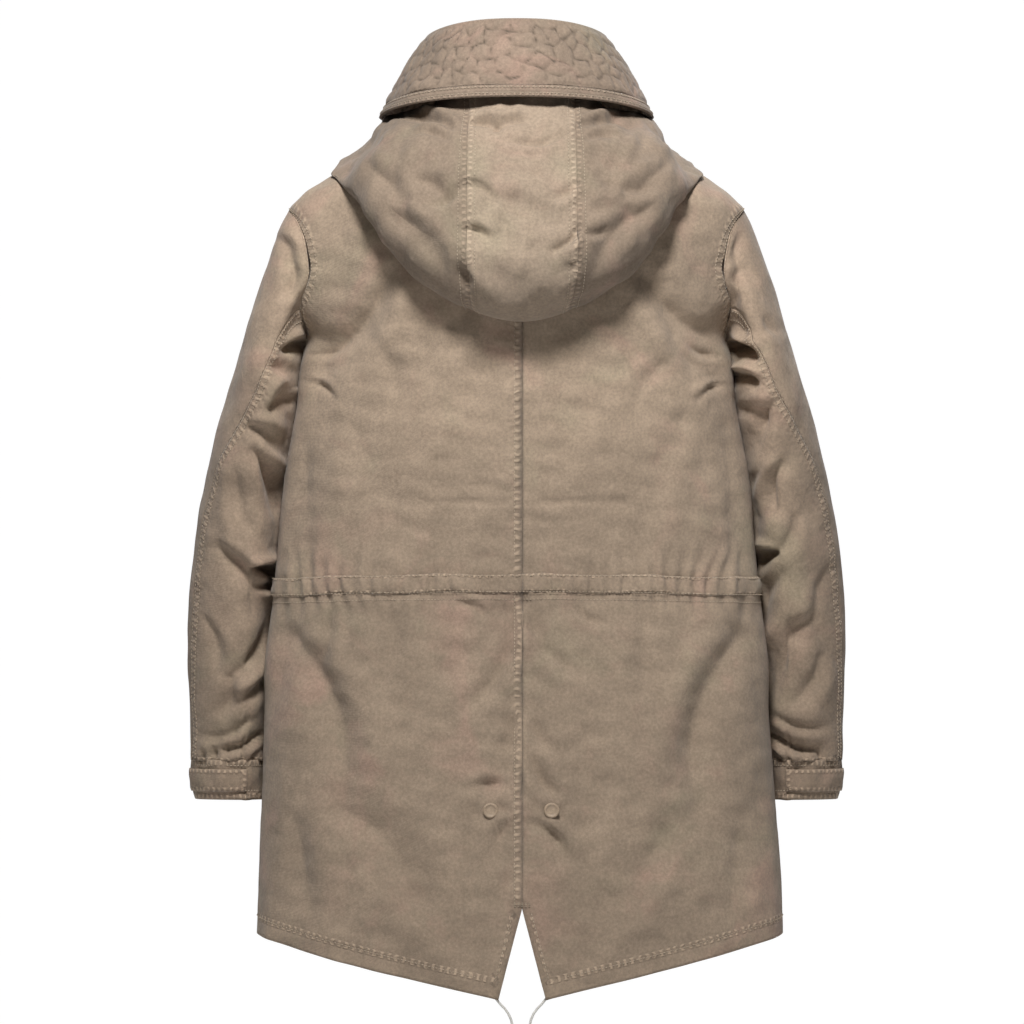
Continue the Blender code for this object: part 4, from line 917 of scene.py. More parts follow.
def back_angles(side, cell):
    """The back panel's grid of angles and levels, from the centre to the side."""
    columns = int(BACK_HALF_GIRTH / cell)
    spread = np.linspace(0, 1, columns)[None, :]
    levels, sides = upper_rows("back", cell)
    top_level = np.repeat(levels[:, None], columns, axis=1)
    middle = blend(math.pi / 2, 0.0, spread)
    share = np.linspace(0, 1, int(BACK_DROP / cell))[1:, None]
    low_level = blend(UNDERARM, back_hem(middle), share)
    level = np.concatenate([top_level, low_level])
    side_angle = np.concatenate([sides, 0 * share[:, 0]])[:, None]
    edge_level = level[:, :1]
    start = angle_at_x(CENTRE_SEAM_X + side * vent_half(edge_level), edge_level)
    end = side_angle if side > 0 else math.pi - side_angle
    return blend(start, end, spread), level, len(levels)


def front_angles(side, cell):
    columns = int(FRONT_HALF_GIRTH / cell)
    spread = np.linspace(0, 1, columns)[None, :]
    levels, sides = upper_rows("front", cell)
    top_level = np.repeat(levels[:, None], columns, axis=1)
    share = np.linspace(0, 1, int(FRONT_DROP / cell))[1:, None]
    hem = blend(SIDE_HEM, FRONT_HEM, np.sin((1 - spread) * math.pi / 2) ** 2)
    level = np.concatenate([top_level, blend(UNDERARM, hem, share)])
    side_angle = np.concatenate([sides, 0 * share[:, 0]])[:, None]
    start = -angle_at_x(0 * level[:, :1], level[:, :1])
    end = -side_angle if side > 0 else side_angle - math.pi
    return blend(start, end, spread), level, len(levels)


def stitch_on_body(angle, level, owner="body", out=0.0003):
    stitch_line(body_surface(angle, level, out), body_normal(angle, level), owner)


def stitch_armhole(side, place, owner):
    """The two rows beside the armhole, on the back or the front panel."""
    turns = np.linspace(8, 178, 120)
    sign = 1 if place == "back" else -1
    for away in ARMHOLE_STITCHES:
        reach = away / ARMHOLE_TURN_RADIUS
        angle_in = sign * (armhole_angle(turns, place) + reach * (0.35 + 0.65 * np.sin(np.radians(turns))))
        stitch_on_body(angle_in if side > 0 else math.pi - angle_in, armhole_level(turns), owner)


def stitch_channel(angles, owner):
    """The two rows along the edges of the waist channel."""
    for half in (1, -1):
        level = channel_level(angles, half) - half * CHANNEL_STITCH_IN
        stitch_on_body(angles, level, owner, STRIP_CLOTH + 0.0010)


def build_back(side, word):
    angle, level, armhole_row = back_angles(side, FINE)
    grid = body_surface(angle, level)
    armhole = slice(int(NECK_TO_SHOULDER / FINE) - 1, armhole_row)
    hem_line = body_surface(angle[-1], level[-1] + HEM_DEPTH)
    vent = np.linspace(VENT_TOP - 0.004, TAIL_TIP + 0.016, 60)
    vent_angle = angle_at_x(CENTRE_SEAM_X + side * (vent_half(vent) + 0.0082), vent)
    vent_line = body_surface(vent_angle, vent)
    ridge_width = 0.0072 if side > 0 else 0.0012
    neck_to_vent = level[:, 0] > VENT_TOP
    seams = [(grid[neck_to_vent, 0], ridge_width), (grid[armhole, -1], 0.0095),
             (grid[armhole_row:, -1], 0.0015), (hem_line, 0.0030), (vent_line, 0.0024)]
    made = shell("back_panel_" + word, grid, "body", ["back_" + word], body_normal(angle, level),
                 seams=seams)
    if side > 0:
        line = np.linspace(-0.17, VENT_TOP, 260)
        stitch_on_body(angle_at_x(CENTRE_SEAM_X + 0.0074 + 0 * line, line), line)
    stitch_armhole(side, "back", "body")
    stitch_on_body(angle[-1, 4:], level[-1, 4:] + HEM_DEPTH)
    stitch_on_body(vent_angle, vent)
    waist = angle[armhole_row]
    stitch_channel(waist, "channel")
    stitch_on_body(waist, channel_level(waist, -1) - 0.0062)


def build_front(side, word):
    angle, level, armhole_row = front_angles(side, COARSE)
    grid = body_surface(angle, level)
    armhole = slice(int(NECK_TO_SHOULDER / COARSE) - 1, armhole_row)
    hem_line = body_surface(angle[-1], level[-1] + HEM_DEPTH)
    seams = [(grid[armhole, -1], 0.0095), (hem_line, 0.0030), (grid[armhole_row:, -1], 0.0015)]
    made = shell("front_panel_" + word, grid, "front", ["front_" + word],
                 body_normal(angle, level), seams=seams)
    stitch_armhole(side, "front", "front")
    stitch_on_body(angle[-1, 8:], level[-1, 8:] + HEM_DEPTH, "front")
    stitch_channel(angle[armhole_row, 8:], "front")


def channel_grid(angles):
    """The channel's strip over a line of angles: its edges sewn down, its middle puffed out."""
    down = np.linspace(1, -1, 9)[:, None]
    angle = angles[None, :] + 0 * down
    lie = body_form(angle, channel_level(angle, down))
    wander = 0.0011 * np.sin(lie[..., 0] * 61 + 3 * down) + 0.0003 * np.sin(lie[..., 0] * 233 + 2 * down)
    level = channel_level(angle, down) + wander
    puckers = 0.85 * np.sin(lie[..., 0] * math.tau / 0.0105 + 2.5 * rumple(lie, 0.05, 8, 6))
    puff = CHANNEL_PUFF * (1 - down ** 2) ** 0.6 * (1.0 + puckers)
    edge = (STRIP_CLOTH + 0.0003) * smooth_step(1.08, 0.80, np.abs(down))
    return body_surface(angle, level, edge + puff), body_normal(angle, level)


def build_channel(side, word, behind):
    count = int(0.30 / 0.0024)
    if behind:
        start = float(angle_at_x(CENTRE_SEAM_X, CHANNEL_MIDDLE))
        end = 0.0 if side > 0 else math.pi
    else:
        start, end = -math.pi / 2, (0.0 if side > 0 else -math.pi)
    angles = np.linspace(start, end, count)
    grid, facing = channel_grid(angles)
    place = "back" if behind else "front"
    seams = [(grid[0], 0.0030), (grid[-1], 0.0030)]
    made = shell(f"channel_{place}_{word}", grid, "channel", [f"waist_channel_{place}_{word}"],
                 facing, cloth=STRIP_CLOTH / 2, seams=seams)


def build_placket():
    levels = np.linspace(PLACKET_TOP, FRONT_HEM, int(PLACKET_LENGTH / COARSE))[:, None]
    across = np.linspace(-1, 1, 13)[None, :]
    reach = -angle_at_x(PLACKET_HALF + 0 * levels, levels) + math.pi / 2
    angle = -math.pi / 2 + reach * across
    level = levels + 0 * across
    roll = -0.0006 * np.abs(across) ** 6
    grid = body_surface(angle, level, PLACKET_OFF + DOUBLE_CLOTH + roll)
    seams = [(grid[:, 0], 0.006), (grid[:, -1], 0.006)]
    made = shell("placket", grid, "front", ["front_placket"], body_normal(angle, level),
                 cloth=DOUBLE_CLOTH, seams=seams)
    for half in (1, -1):
        angle = -math.pi / 2 + half * reach[:, 0] * 0.80
        stitch_on_body(angle, levels[:, 0], "front", PLACKET_OFF + DOUBLE_CLOTH + 0.0003)


def spun(name, profile, centre, direction, sides, material, nodes, slot):
    """A small turned piece: (radius, height) points spun about a direction, closed at its ends."""
    up = unit(np.asarray(direction, float))
    first = unit(np.cross(up, (0.3, 0.2, 1.0)))
    second = np.cross(up, first)
    turn = np.arange(sides) * math.tau / sides
    rim = np.cos(turn)[:, None] * first + np.sin(turn)[:, None] * second
    points = np.concatenate([centre + radius * rim + height * up for radius, height in profile])
    faces = [tuple(range(sides))[::-1], tuple((len(profile) - 1) * sides + i for i in range(sides))]
    faces += ring_faces(0, len(profile), sides)
    return join_part(mesh_of(name, points, faces, material), nodes)


SNAP_PROFILE = ((0.84, -0.10), (0.97, 0.10), (1.0, 0.35), (0.985, 0.62), (0.93, 0.86), (0.84, 0.98),
                (0.74, 0.97), (0.66, 0.80), (0.60, 0.66), (0.45, 0.62), (0.2, 0.62), (0.02, 0.62))


def build_snaps():
    profile = [(r * SNAP_RADIUS, h * SNAP_HEIGHT) for r, h in SNAP_PROFILE]
    front = np.array(-math.pi / 2)
    for number, level in enumerate(PLACKET_SNAP_LEVELS, start=1):
        level = np.array(level)
        centre = body_form(front, level) + body_normal(front, level) * (PLACKET_OFF + DOUBLE_CLOTH)
        spun(f"placket_snap_{number}", profile, centre, body_normal(front, level), 40, "snap",
             [f"front_snap_{number}"], "snap_cap")
    for side, word in ((1, "left"), (-1, "right")):
        level = np.array(TAIL_SNAP_Z)
        angle = angle_at_x(BACK_MIDDLE_X + side * TAIL_SNAP_SPREAD, level)
        centre = body_surface(angle, level)
        spun("tail_snap_cap_" + word, profile, centre, body_normal(angle, level), 40, "snap",
             ["tail_snap_" + word], "snap_cap")


def build_body():
    for side, word in ((1, "left"), (-1, "right")):
        build_back(side, word)
        build_front(side, word)
        build_channel(side, word, True)
        build_channel(side, word, False)
    build_placket()
    build_snaps()
    bar = np.linspace(-0.009, 0.009, 12)
    for drop in (0.0, 0.0016, 0.0032):
        level = VENT_TOP + 0.006 - drop + 0 * bar
        stitch_on_body(angle_at_x(CENTRE_SEAM_X + bar, level), level, out=0.0008)


# ------------------------------------------------------------------ sleeves

def armhole_point(turn):
    """The armhole's smooth line on the left, once round by the back, with its outward direction."""
    turn = np.asarray(turn) % 360
    behind = turn <= 180
    half = np.where(behind, turn, 360 - turn)
    level = armhole_level(half)
    angle = np.where(behind, armhole_angle(half, "back"), -armhole_angle(half, "front"))
    return body_form(angle, level), body_normal(angle, level)


def sleeve_ring(turn, height):
    turn, height = np.broadcast_arrays(np.radians(turn), np.asarray(height, float))
    across, along = np.cos(turn), np.sin(turn)
    deepest = read(SLEEVE, "height", "deepest", height)
    reach = np.where(across >= 0, read(SLEEVE, "height", "outer", height) - deepest,
                     deepest - read(SLEEVE, "height", "inner", height))
    y = read(SLEEVE, "height", "mid_y", height) + read(SLEEVE, "height", "depth", height) * along
    return np.stack([deepest + reach * across, y, height], axis=-1)


def sleeve_cap(turn, share):
    start = armhole_point(turn)[0]
    end = sleeve_ring(turn, SLEEVE_TOP_RING)
    below = sleeve_ring(turn, SLEEVE_TOP_RING - 0.02)
    length = np.linalg.norm(end - start, axis=-1, keepdims=True)
    at_top = (0.5 + 0.5 * np.cos(np.radians(turn)))[..., None]
    outward = unit(blend(np.array([1.0, 0.0, -0.55]), np.array([0.55, 0.0, -1.0]), at_top))
    first = start + outward * length * 0.26
    last = end - unit(below - end) * length * 0.26
    t = np.asarray(share)[..., None]
    return ((1 - t) ** 3 * start + 3 * t * (1 - t) ** 2 * first
            + 3 * t * t * (1 - t) * last + t ** 3 * end)


def sleeve_form(turn, place):
    turn, place = np.broadcast_arrays(np.asarray(turn, float), np.asarray(place, float))
    cap = sleeve_cap(turn, np.clip(place, 0, 1))
    tube = sleeve_ring(turn, blend(SLEEVE_TOP_RING, CUFF_SEAM, np.clip(place - 1, 0, None)))
    return np.where((place <= 1)[..., None], cap, tube)


def sleeve_facing(turn, place):
    round_it = sleeve_form(turn + 2.0, place) - sleeve_form(turn - 2.0, place)
    down_it = sleeve_form(turn, place + 0.01) - sleeve_form(turn, np.maximum(place - 0.01, 0))
    return unit(np.cross(down_it, round_it))


def sleeve_surface(turn, place, side, out=0.0):
    """The sleeve's cloth as drawn, with the creases of its own side, mirrored onto it."""
    points = sleeve_form(turn, place)
    facing = sleeve_facing(turn, place)
    turn, place = np.broadcast_arrays(np.asarray(turn, float), np.asarray(place, float))
    behind = smooth_step(-0.25, 0.25, np.sin(np.radians(turn)))
    creases = LEFT_SLEEVE_CREASES if side > 0 else RIGHT_SLEEVE_CREASES
    shown = points * (side, 1, 1)
    hidden = shown + (0.004 * side, 0.0, 0.022)
    height = SLEEVE_CREASE_DEPTH * behind * crease_height(shown, creases)
    height = height + SLEEVE_CREASE_DEPTH * 0.7 * (1 - behind) * crease_height(hidden, creases, 1.2)
    lumps = 0.0018 * rumple(shown, 0.065, 21) + 0.0009 * rumple(shown, 0.030, 22)
    height = height + lumps * blend(0.25, 1.0, np.abs(facing[..., 1]))
    wrist = smooth_step(1.86, 1.99, place)
    pleats = 0.0013 * np.sin(np.radians(turn) * 9 + 4.0 * np.sin(np.radians(turn) * 4)) * wrist
    height = (height + pleats) * smooth_step(0.0, 0.10, place)
    next_to_body = smooth_step(-0.80, -0.97, np.cos(np.radians(turn)))
    height = height * (1 - 0.8 * next_to_body) + SLEEVE_FILL * next_to_body * smooth_step(0.9, 1.1, place)
    return (points + facing * (height + out)[..., None]) * (side, 1, 1)


def back_seam_turn(place):
    height = blend(SLEEVE_TOP_RING, CUFF_SEAM, np.clip(place - 1, 0, 1))
    low = read(SLEEVE, "height", "back_seam", height)
    high = blend(ARMHOLE_BACK_SEAM_TURN, SLEEVE["back_seam"][0], np.clip(place, 0, 1))
    return np.where(place < 1, high, low)


def build_sleeve_piece(side, word, part, first_turn, last_turn, width):
    tube = np.linspace(1, 2, int(SLEEVE_LENGTH / SLEEVE_CELL))[1:]
    places = np.concatenate([np.linspace(0, 1, 50), tube])[:, None]
    spread = np.linspace(0, 1, int(width / SLEEVE_CELL))[None, :]
    turn = blend(first_turn(places), last_turn(places), spread)
    grid = sleeve_surface(turn, places + 0 * spread, side)
    facing = sleeve_facing(turn, places + 0 * spread) * (side, 1, 1)
    on_back = 0 if part == "under" else -1
    seams = [(grid[:, on_back], 0.0085 if part == "under" else 0.0014), (grid[0], 0.0016),
             (grid[-1], 0.0030)]
    made = shell(f"sleeve_{part}_cloth_{word}", grid, "sleeve", [f"sleeve_{part}_{word}"],
                 facing, seams=seams)


def cuff_facing(form):
    return unit((form - CUFF_MIDDLE) * (1, 1, 0))


def build_cuff(side, word):
    heights = np.linspace(CUFF_SEAM + 0.0012, WRIST, 15)[:, None]
    turn = np.linspace(0, 360, 121)[None, :-1]
    form = sleeve_ring(turn, heights + 0 * turn)
    facing = cuff_facing(form)
    down = (heights - WRIST) / (CUFF_SEAM - WRIST)
    waves = 0.0017 * rumple(form, 0.030, 31) + 0.0006 * np.sin(np.radians(turn) * 17) * down
    grid = (form + facing * (CUFF_OUT + waves)[..., None]) * (side, 1, 1)
    closed = np.concatenate([grid, grid[:, :1]], axis=1)
    seams = [(closed[0], 0.0055), (closed[-1], 0.0055)]
    made = shell("cuff_band_" + word, grid, "cuff", ["cuff_" + word], facing * (side, 1, 1),
                 cloth=DOUBLE_CLOTH, seams=seams, around=True)
    for drop in (0.0045, 0.0300):
        row = sleeve_ring(np.linspace(0, 360, 160), CUFF_SEAM - drop)
        outward = cuff_facing(row)
        stitch_line((row + outward * (CUFF_OUT + 0.0006)) * (side, 1, 1), outward * (side, 1, 1), "cuff")
    build_tab(side, word)


def build_tab(side, word):
    """The cuff's tab, sewn down behind and pointed at its front end."""
    across = np.linspace(0, 1, 61)[None, :]
    up = np.linspace(1, -1, 9)[:, None]
    point = 1 - 0.65 * smooth_step(0.90, 1.0, across)
    turn = blend(TAB_START, TAB_END, across) + 0 * up
    height = (CUFF_SEAM + WRIST) / 2 + TAB_HALF_HEIGHT * point * up
    form = sleeve_ring(turn, height)
    outward = cuff_facing(form)
    roll = -0.0006 * np.abs(up) ** 4 + 0.0017 * rumple(form, 0.030, 31)
    grid = (form + outward * (CUFF_OUT + 0.0024 + roll)[..., None]) * (side, 1, 1)
    made = shell("cuff_tab_cloth_" + word, grid, "cuff", ["cuff_tab_" + word],
                 outward * (side, 1, 1), cloth=0.0018,
                 seams=[(grid[:, 0], 0.0045), (grid[0], 0.0040), (grid[-1], 0.0040)])


def build_sleeves():
    for side, word in ((1, "left"), (-1, "right")):
        build_sleeve_piece(side, word, "under", back_seam_turn, lambda p: FRONT_SEAM_TURN + 0 * p,
                           0.23)
        build_sleeve_piece(side, word, "top", lambda p: FRONT_SEAM_TURN + 0 * p,
                           lambda p: 360 + back_seam_turn(p), 0.27)
        places = np.concatenate([np.linspace(0.03, 1, 60), np.linspace(1, 1.995, 120)[1:]])
        for inside in (2.0, 9.5):
            turn = back_seam_turn(places) + inside
            outward = sleeve_facing(turn, places) * (side, 1, 1)
            stitch_line(sleeve_surface(turn, places, side, 0.0004), outward, "sleeve")
        build_cuff(side, word)


# ------------------------------------------------------------------ collar

def collar_ring(angle, which, out=0.0):
    across, along = np.cos(angle), np.sin(angle)
    behind = along >= 0
    depth = np.where(behind, COLLAR["back"][which], COLLAR["front"][which]) + out
    lift = np.where(behind, COLLAR["back_lift"][which], COLLAR["front_lift"][which])
    lift_power = np.where(behind, COLLAR["back_power"][which], COLLAR["front_power"][which])
    lift = lift * np.abs(along) ** lift_power
    power = 2 / COLLAR_SQUARE
    x = (COLLAR["width"][which] + out) * signed_power(across, power)
    y = depth * signed_power(along, power)
    return np.stack([x, y, COLLAR["side_z"][which] + lift], axis=-1)


def collar_angles(share, opening):
    gap = opening / COLLAR["front"][FOLD_TOP]
    return blend(1.5 * math.pi - gap, gap - 0.5 * math.pi, share)


def quilt_seeds():
    """The middles of the quilted cells: shares of the way round the collar and down it."""
    dice = np.random.default_rng(11)
    seeds = []
    for row in range(QUILT_ROWS):
        for column in range(QUILT_COLUMNS):
            shift = 0.5 * (row % 2) + dice.uniform(-0.42, 0.42)
            seeds.append(((column + 0.5 + shift) / QUILT_COLUMNS,
                          (row + 0.5 + dice.uniform(-0.40, 0.40)) / QUILT_ROWS))
    return np.array(seeds)


def quilt_rise(round_share, down_share):
    """How far the quilted cells stand out between their sewn lines, which wander a little, and how dark the
    painted shade along those lines is.
    """
    size = np.array([QUILT_LENGTH, QUILT_HEIGHT])
    seeds = quilt_seeds() * size
    place = np.stack([round_share, down_share], axis=-1) * size
    wander = np.stack([np.sin(place[..., 1] * 290 + place[..., 0] * 90),
                       np.sin(place[..., 0] * 260 + 1.7)], axis=-1)
    place = place + 0.0012 * wander
    away = np.sort(np.linalg.norm(place[..., None, :] - seeds, axis=-1), axis=-1)
    between = away[..., 1] - away[..., 0]
    strong = 0.55 + 0.45 * np.sin(place[..., 0] * 310 + 5 * np.sin(place[..., 1] * 160))
    puckers = 0.0004 * np.sin(place[..., 0] * 1300 + 3 * np.sin(place[..., 1] * 400))
    rise = QUILT_RISE * (1 - np.exp(-between / QUILT_ROUNDING)) + puckers * np.exp(-between / 0.004)
    return rise, strong * np.exp(-between / 0.0013)


def build_stand():
    share = np.linspace(0, 1, 180)[None, :]
    up = np.linspace(0, 1, 24)[:, None]
    angle = blend(-0.5 * math.pi + 0.004, 1.5 * math.pi - 0.004, share)
    neck = body_form(angle, BODY["level"][0])
    top = collar_ring(angle, STAND_TOP, -0.0002)
    grid = blend(neck, top, up[..., None])
    lean = 0.0005 * rumple(grid, 0.05, 41)
    outward = unit(grid * (1, 1, 0))
    made = shell("collar_stand_cloth", grid + outward * (lean - 0.0008)[..., None], "collar",
                 ["collar_stand"], outward, cloth=DOUBLE_CLOTH, seams=[(grid[0], 0.0060)])


def fall_rows():
    """The fall's outer face from the stand over the fold down to the strip's seam, and shares."""
    share = np.linspace(0, 1, 440)
    top_line = collar_angles(share, FALL_OPENING_TOP)
    low_line = collar_angles(share, FALL_OPENING_EDGE)
    stand = collar_ring(top_line, STAND_TOP)
    crown = collar_ring(top_line, FOLD_TOP)
    seam = collar_ring(low_line, STRIP_SEAM)
    outward = unit((crown - stand) * (1, 1, 0))
    base = crown - outward * FOLD_RADIUS - (0, 0, FOLD_RADIUS)
    rows = [stand - outward * DOUBLE_CLOTH * 0.9]
    for turn in np.linspace(math.pi, 0.25 * math.pi, 14):
        rows.append(base + outward * math.cos(turn) * (FOLD_RADIUS + 0.001)
                    + np.array([0, 0, math.sin(turn) * FOLD_RADIUS]))
    start = rows[-1]
    down = np.linspace(0, 1, 54)[1:]
    rows += [blend(start, seam, d) for d in down]
    down_share = np.concatenate([np.full(15, -0.05), down])
    return np.array(rows), share, down_share, low_line


def build_fall():
    rows, share, down, low_line = fall_rows()
    outward = grid_normals(rows)
    outward *= np.sign((outward[-1] * rows[-1]).sum(-1).mean())
    round_share, down_share = np.meshgrid(share, np.clip(down, 0, 1))
    rise, lines = quilt_rise(round_share, down_share)
    quilted = smooth_step(0.02, 0.14, down) * smooth_step(1.0, 0.93, down)
    bow = 0.0015 * np.sin(math.pi * np.clip(down, 0, 1))
    slack = 0.0008 * rumple(rows, 0.045, 43) * smooth_step(0.0, 0.3, down)[:, None]
    out = rise * quilted[:, None] + bow[:, None] + slack
    out[-1] = 0
    grid = rows + outward * out[..., None]
    made = shell("collar_fall_cloth", grid, "collar", ["collar_fall"], outward,
                 cloth=DOUBLE_CLOTH, seams=[(grid[-1], 0.0010)])
    # Painted shade along the quilted lines, which the collar's material reads.
    mark(made, "quilt_line_shade", (lines * quilted[:, None]).ravel())
    edge = collar_ring(low_line, FALL_EDGE)
    across = np.linspace(0, 1, 9)[:, None, None]
    strip = blend(grid[-1], edge, across)
    facing = np.repeat(outward[-1][None], 9, axis=0)
    strip = strip + facing * (0.0004 * np.sin(math.pi * across))
    made = shell("collar_strip_cloth", strip, "collar", ["collar_edge_strip"],
                 facing, cloth=DOUBLE_CLOTH, seams=[(strip[0], 0.0036), (strip[-1], 0.0034)])
    for place in (0.22, 0.72):
        stitch_line(blend(strip[0], strip[-1], place) + facing[0] * 0.0007, facing[0], "collar")


# ------------------------------------------------------------------ hood

def hood_angle(column, level, side):
    seam = angle_at_x(HOOD_SEAM_X + side * BACK_MIDDLE_X, level)
    left = blend(seam, math.radians(HOOD_END_ANGLE), column ** HOOD_COLUMN_POWER)
    return left if side > 0 else math.pi - left


def hood_outward(angle, level):
    up = np.clip((level - HOOD_LEVEL_OUT) / (HOOD_LEVEL_UP - HOOD_LEVEL_OUT), 0, 1)
    up = 0.6 * up * up * (3 - 2 * up)
    return unit(np.stack([(1 - up) * np.cos(angle), (1 - up) * np.sin(angle), up], axis=-1))


def hood_section():
    """The bag's section: shares of the way down, and of the loft, from its inside to its outside."""
    inner = [(share, 0.0) for share in np.linspace(0, 1 - HOOD_ROUND, 24)]
    turn = np.radians(np.linspace(-80, 80, 22))
    low = HOOD_EDGE_LOFT
    rounded = [(1 - HOOD_ROUND + HOOD_ROUND * math.cos(t), low + (1 - low if t > 0 else low) * math.sin(t))
               for t in turn]
    outer = [(share, 1.0) for share in np.linspace(1 - HOOD_ROUND, HOOD_RIM, 60)]
    section = np.array(inner + rounded + outer)
    return section[:, :1], section[:, 1:]


def hood_height(points, lofted):
    """The creases and lumps of the hood's outer layer, sunk a little along its seams."""
    outside = smooth_step(0.10, 0.50, lofted)
    creases = crease_height(points, HOOD_CREASES)
    lumps = 0.0018 * rumple(points, 0.055, 51) + 0.0009 * rumple(points, 0.024, 52)
    near_seam = np.abs(np.abs(points[..., 0] - BACK_MIDDLE_X) - 1.15 * HOOD_SEAM_X)
    sunk = -0.0009 * np.exp(-(near_seam / 0.006) ** 2)
    return (HOOD_CREASE_DEPTH * creases + lumps + sunk) * outside + CLOTH / 2


def hood_grid(columns, side):
    """The hood's cloth: a side panel, or the centre one for side 0, whose columns run -1 to 1."""
    share, lofted = hood_section()
    if side:
        edge = read(HOOD, "column", "edge", columns)
        loft = read(HOOD, "column", "loft", columns)
    else:
        edge = HOOD["edge"][0] - HOOD_CENTRE_DROP * (1 - columns ** 2)
        loft = HOOD["loft"][0] + 0 * columns
    level = blend(BODY["level"][0], edge[None, :], share)
    if side:
        angle = hood_angle(columns[None, :], level, side)
        beside = smooth_step(0.22, 0.45, columns) * smooth_step(0.85, 0.62, columns)
        behind_neck = smooth_step(0.40, 0.15, columns)
    else:
        angle = angle_at_x(BACK_MIDDLE_X + columns * HOOD_SEAM_X, level)
        beside = 0 * columns
        behind_neck = 1 + 0 * columns
    at_rim = 0.12 + 0.30 * np.sin(angle) ** 2
    full = np.sin(np.clip(share, 0, 1) * math.pi * 0.62) ** 1.5
    depth = loft[None, :] * blend(at_rim, 1.0, full)
    hugging = HOOD_OFF_BODY * (1 - 0.6 * beside)
    on_body = body_form(angle, level) + body_normal(angle, level) * (hugging + 0 * level)[..., None]
    outward = hood_outward(angle, level)
    swell = HOOD_SWELL * beside * np.exp(-((share - 0.35) / 0.24) ** 2)
    swell = swell + HOOD_UNDER_STRIP * behind_neck * np.exp(-((share - 0.08) / 0.09) ** 2)
    points = on_body + outward * (lofted * (depth + swell))[..., None]
    facing = grid_normals(points)
    facing *= np.sign((facing[-30] * outward[-30]).sum(-1).mean())
    return points + facing * hood_height(points, lofted)[..., None], facing


def build_hood():
    """Three panels, with a row of topstitching on both sides of each seam."""
    columns = np.linspace(0, 1, 110)
    stitched = slice(24, -2)
    for side, word in ((1, "left"), (-1, "right")):
        grid, facing = hood_grid(columns, side)
        made = shell("hood_side_" + word, grid, "hood_side", ["hood_" + word], facing,
                     seams=[(grid[:, 0], 0.0048), (grid[-1], 0.0060)])
        line, up = hood_grid(HOOD_STITCH_COLUMN + np.array([-0.004, 0.0, 0.004]), side)
        stitch_line(line[stitched, 1] + up[stitched, 1] * 0.0004, up[stitched, 1], "hood")
    across = np.concatenate([[-1.05, -1.02], np.linspace(-1, 1, 44), [1.02, 1.05]])
    grid, facing = hood_grid(across, 0)
    tucked = np.interp(np.abs(across), (0.97, 1.02, 1.05), (0.0, 0.0012, 0.0020))
    grid = grid - facing * tucked[None, :, None]
    made = shell("hood_middle", grid, "hood", ["hood_centre"], facing,
                 seams=[(grid[:, 2], 0.0048), (grid[:, -3], 0.0048), (grid[-1], 0.0060)])
    for place in (5, -6):
        outward = facing[stitched, place]
        stitch_line(grid[stitched, place] + outward * 0.0004, outward, "hood")


# ------------------------------------------------------------------ hem drawcord ends

# The left end's route, from behind the hem at the tail tip down to its knot.
CORD_ROUTE = table(
    "x       y       z",
    (0.0290, 0.1227, -0.8735),
    (0.0250, 0.1229, -0.8795),
    (0.0205, 0.1233, -0.8850),
    (0.0165, 0.1241, -0.8890),
    (0.0128, 0.1247, -0.8940),
    (0.0100, 0.1250, -0.9000),
    (0.0082, 0.1250, -0.9080),
    (0.0072, 0.1250, -0.9180),
    (0.0068, 0.1250, -0.9300),
    (0.0066, 0.1250, -0.9420),
    (0.0066, 0.1250, -0.9540),
)

# The knot's radius and height down its length, as shares of its radius.
KNOT_PROFILE = ((0.3, -2.5), (0.62, -2.3), (0.9, -1.9), (1.0, -1.4), (0.9, -1.15), (0.98, -0.8),
                (0.88, -0.4), (0.6, -0.05), (0.35, 0.1))


def build_cord(side, word):
    route = np.stack([BACK_MIDDLE_X + side * CORD_ROUTE["x"], CORD_ROUTE["y"], CORD_ROUTE["z"]], axis=1)
    curve = bpy.data.curves.new("cord_end_" + word, "CURVE")
    curve.dimensions = "3D"
    curve.bevel_depth = CORD_RADIUS
    curve.bevel_resolution = 4
    curve.use_fill_caps = True
    line = curve.splines.new("POLY")
    line.points.add(len(route) - 1)
    for point, place in zip(line.points, route):
        point.co = (*place, 1.0)
    made = join_part(link("cord_end_" + word, curve, MATERIALS["cord"]), ["drawcord_" + word])
    knot = spun("cord_knot_" + word, [(r * KNOT_RADIUS, h * KNOT_RADIUS) for r, h in KNOT_PROFILE],
                route[-1] - (0, 0, 0.0003), (0, 0, 1), 20, "cord", ["drawcord_knot_" + word], "cord")


# ------------------------------------------------------------------ stage, lights and camera

FRAME_WIDTH = 1.024         # what the picture shows across, at the coat's back
FRAME_MIDDLE = (0.0045, -0.394)
CAMERA_AWAY = 9.0
BACK_SURFACE_Y = 0.10
FLOOR_LEVEL = -1.15
FLOOR_RADIUS = 4.0
BACKDROP_Y, BACKDROP_HALF = -12.0, 9.0
WORLD_LIGHT = 0.065


def build_backdrop():
    """A white screen far in front of the coat, which is the picture's background."""
    mesh = bpy.data.meshes.new("backdrop")
    far = BACKDROP_HALF
    mesh.from_pydata([(-far, BACKDROP_Y, -far), (far, BACKDROP_Y, -far), (far, BACKDROP_Y, far),
                      (-far, BACKDROP_Y, far)], [], [(0, 1, 2, 3)])
    white = Finish("white_backdrop").give(Base_Color=(0.0, 0.0, 0.0, 1.0), Emission_Strength=1.0,
                                          Emission_Color=(1.0, 1.0, 1.0, 1.0))
    link("backdrop", mesh, white)


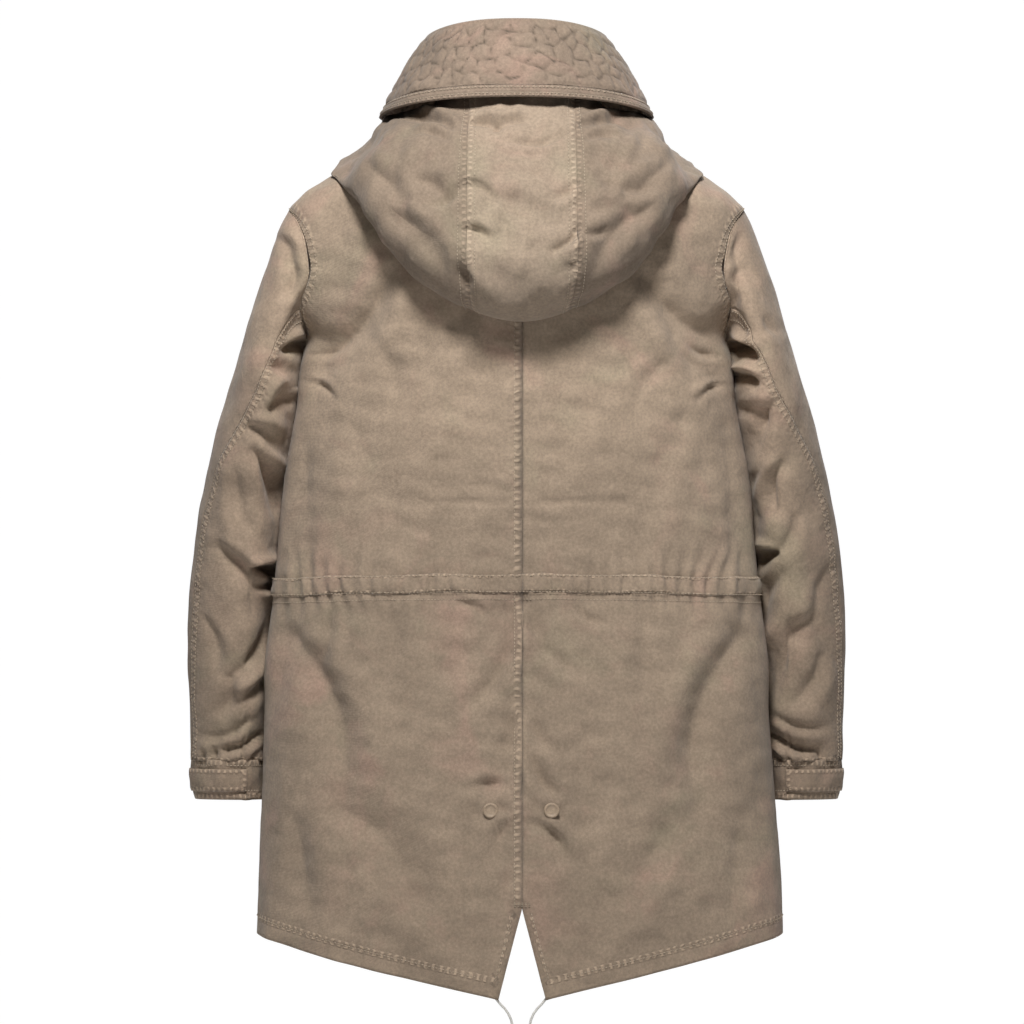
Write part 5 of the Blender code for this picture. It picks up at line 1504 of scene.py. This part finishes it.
def build_floor():
    """A pale round floor under the coat."""
    mesh = bpy.data.meshes.new("floor")
    turn = np.arange(64) * math.tau / 64
    rim = [(FLOOR_RADIUS * math.cos(t), FLOOR_RADIUS * math.sin(t), FLOOR_LEVEL) for t in turn]
    mesh.from_pydata(rim, [], [tuple(range(64))])
    paper = Finish("paper_floor").give(Base_Color=(0.86, 0.86, 0.86, 1), Roughness=0.9)
    link("floor", mesh, paper)


def build_world():
    """An even pale light from all round."""
    world = bpy.data.worlds.new("pale")
    world.use_nodes = True
    world.node_tree.nodes["Background"].inputs["Color"].default_value = (1.0, 1.0, 1.0, 1.0)
    world.node_tree.nodes["Background"].inputs["Strength"].default_value = WORLD_LIGHT
    bpy.context.scene.world = world


def area_light(name, place, target, size, watts):
    data = bpy.data.lights.new(name, "AREA")
    data.shape = "DISK"
    data.size = size
    data.energy = watts
    made = bpy.data.objects.new(name, data)
    made.location = place
    made.rotation_euler = (Vector(target) - Vector(place)).to_track_quat("-Z", "Y").to_euler()
    bpy.context.scene.collection.objects.link(made)


def build_camera():
    data = bpy.data.cameras.new("camera")
    data.sensor_width = 36.0
    data.lens = 36.0 * (CAMERA_AWAY - BACK_SURFACE_Y) / FRAME_WIDTH
    data.clip_end = 40.0
    made = bpy.data.objects.new("camera", data)
    made.location = (FRAME_MIDDLE[0], CAMERA_AWAY, FRAME_MIDDLE[1])
    made.rotation_euler = (math.radians(90), 0.0, math.radians(180))
    bpy.context.scene.collection.objects.link(made)
    bpy.context.scene.camera = made


def main():
    build_body()
    build_sleeves()
    build_stand()
    build_fall()
    build_hood()
    for side, word in ((1, "left"), (-1, "right")):
        build_cord(side, word)
    for owner in STITCH_LINES:
        build_stitches(owner)
    build_floor()
    build_world()
    build_backdrop()
    area_light("high_behind", (0.08, 1.68, 1.50), (0.0, 0.1, -0.32), 0.55, 90)
    area_light("high_front", (-0.8, -2.4, 2.4), (0.0, 0.0, -0.3), 2.4, 60)
    build_camera()
    bpy.context.scene.view_settings.view_transform = "Standard"


main()
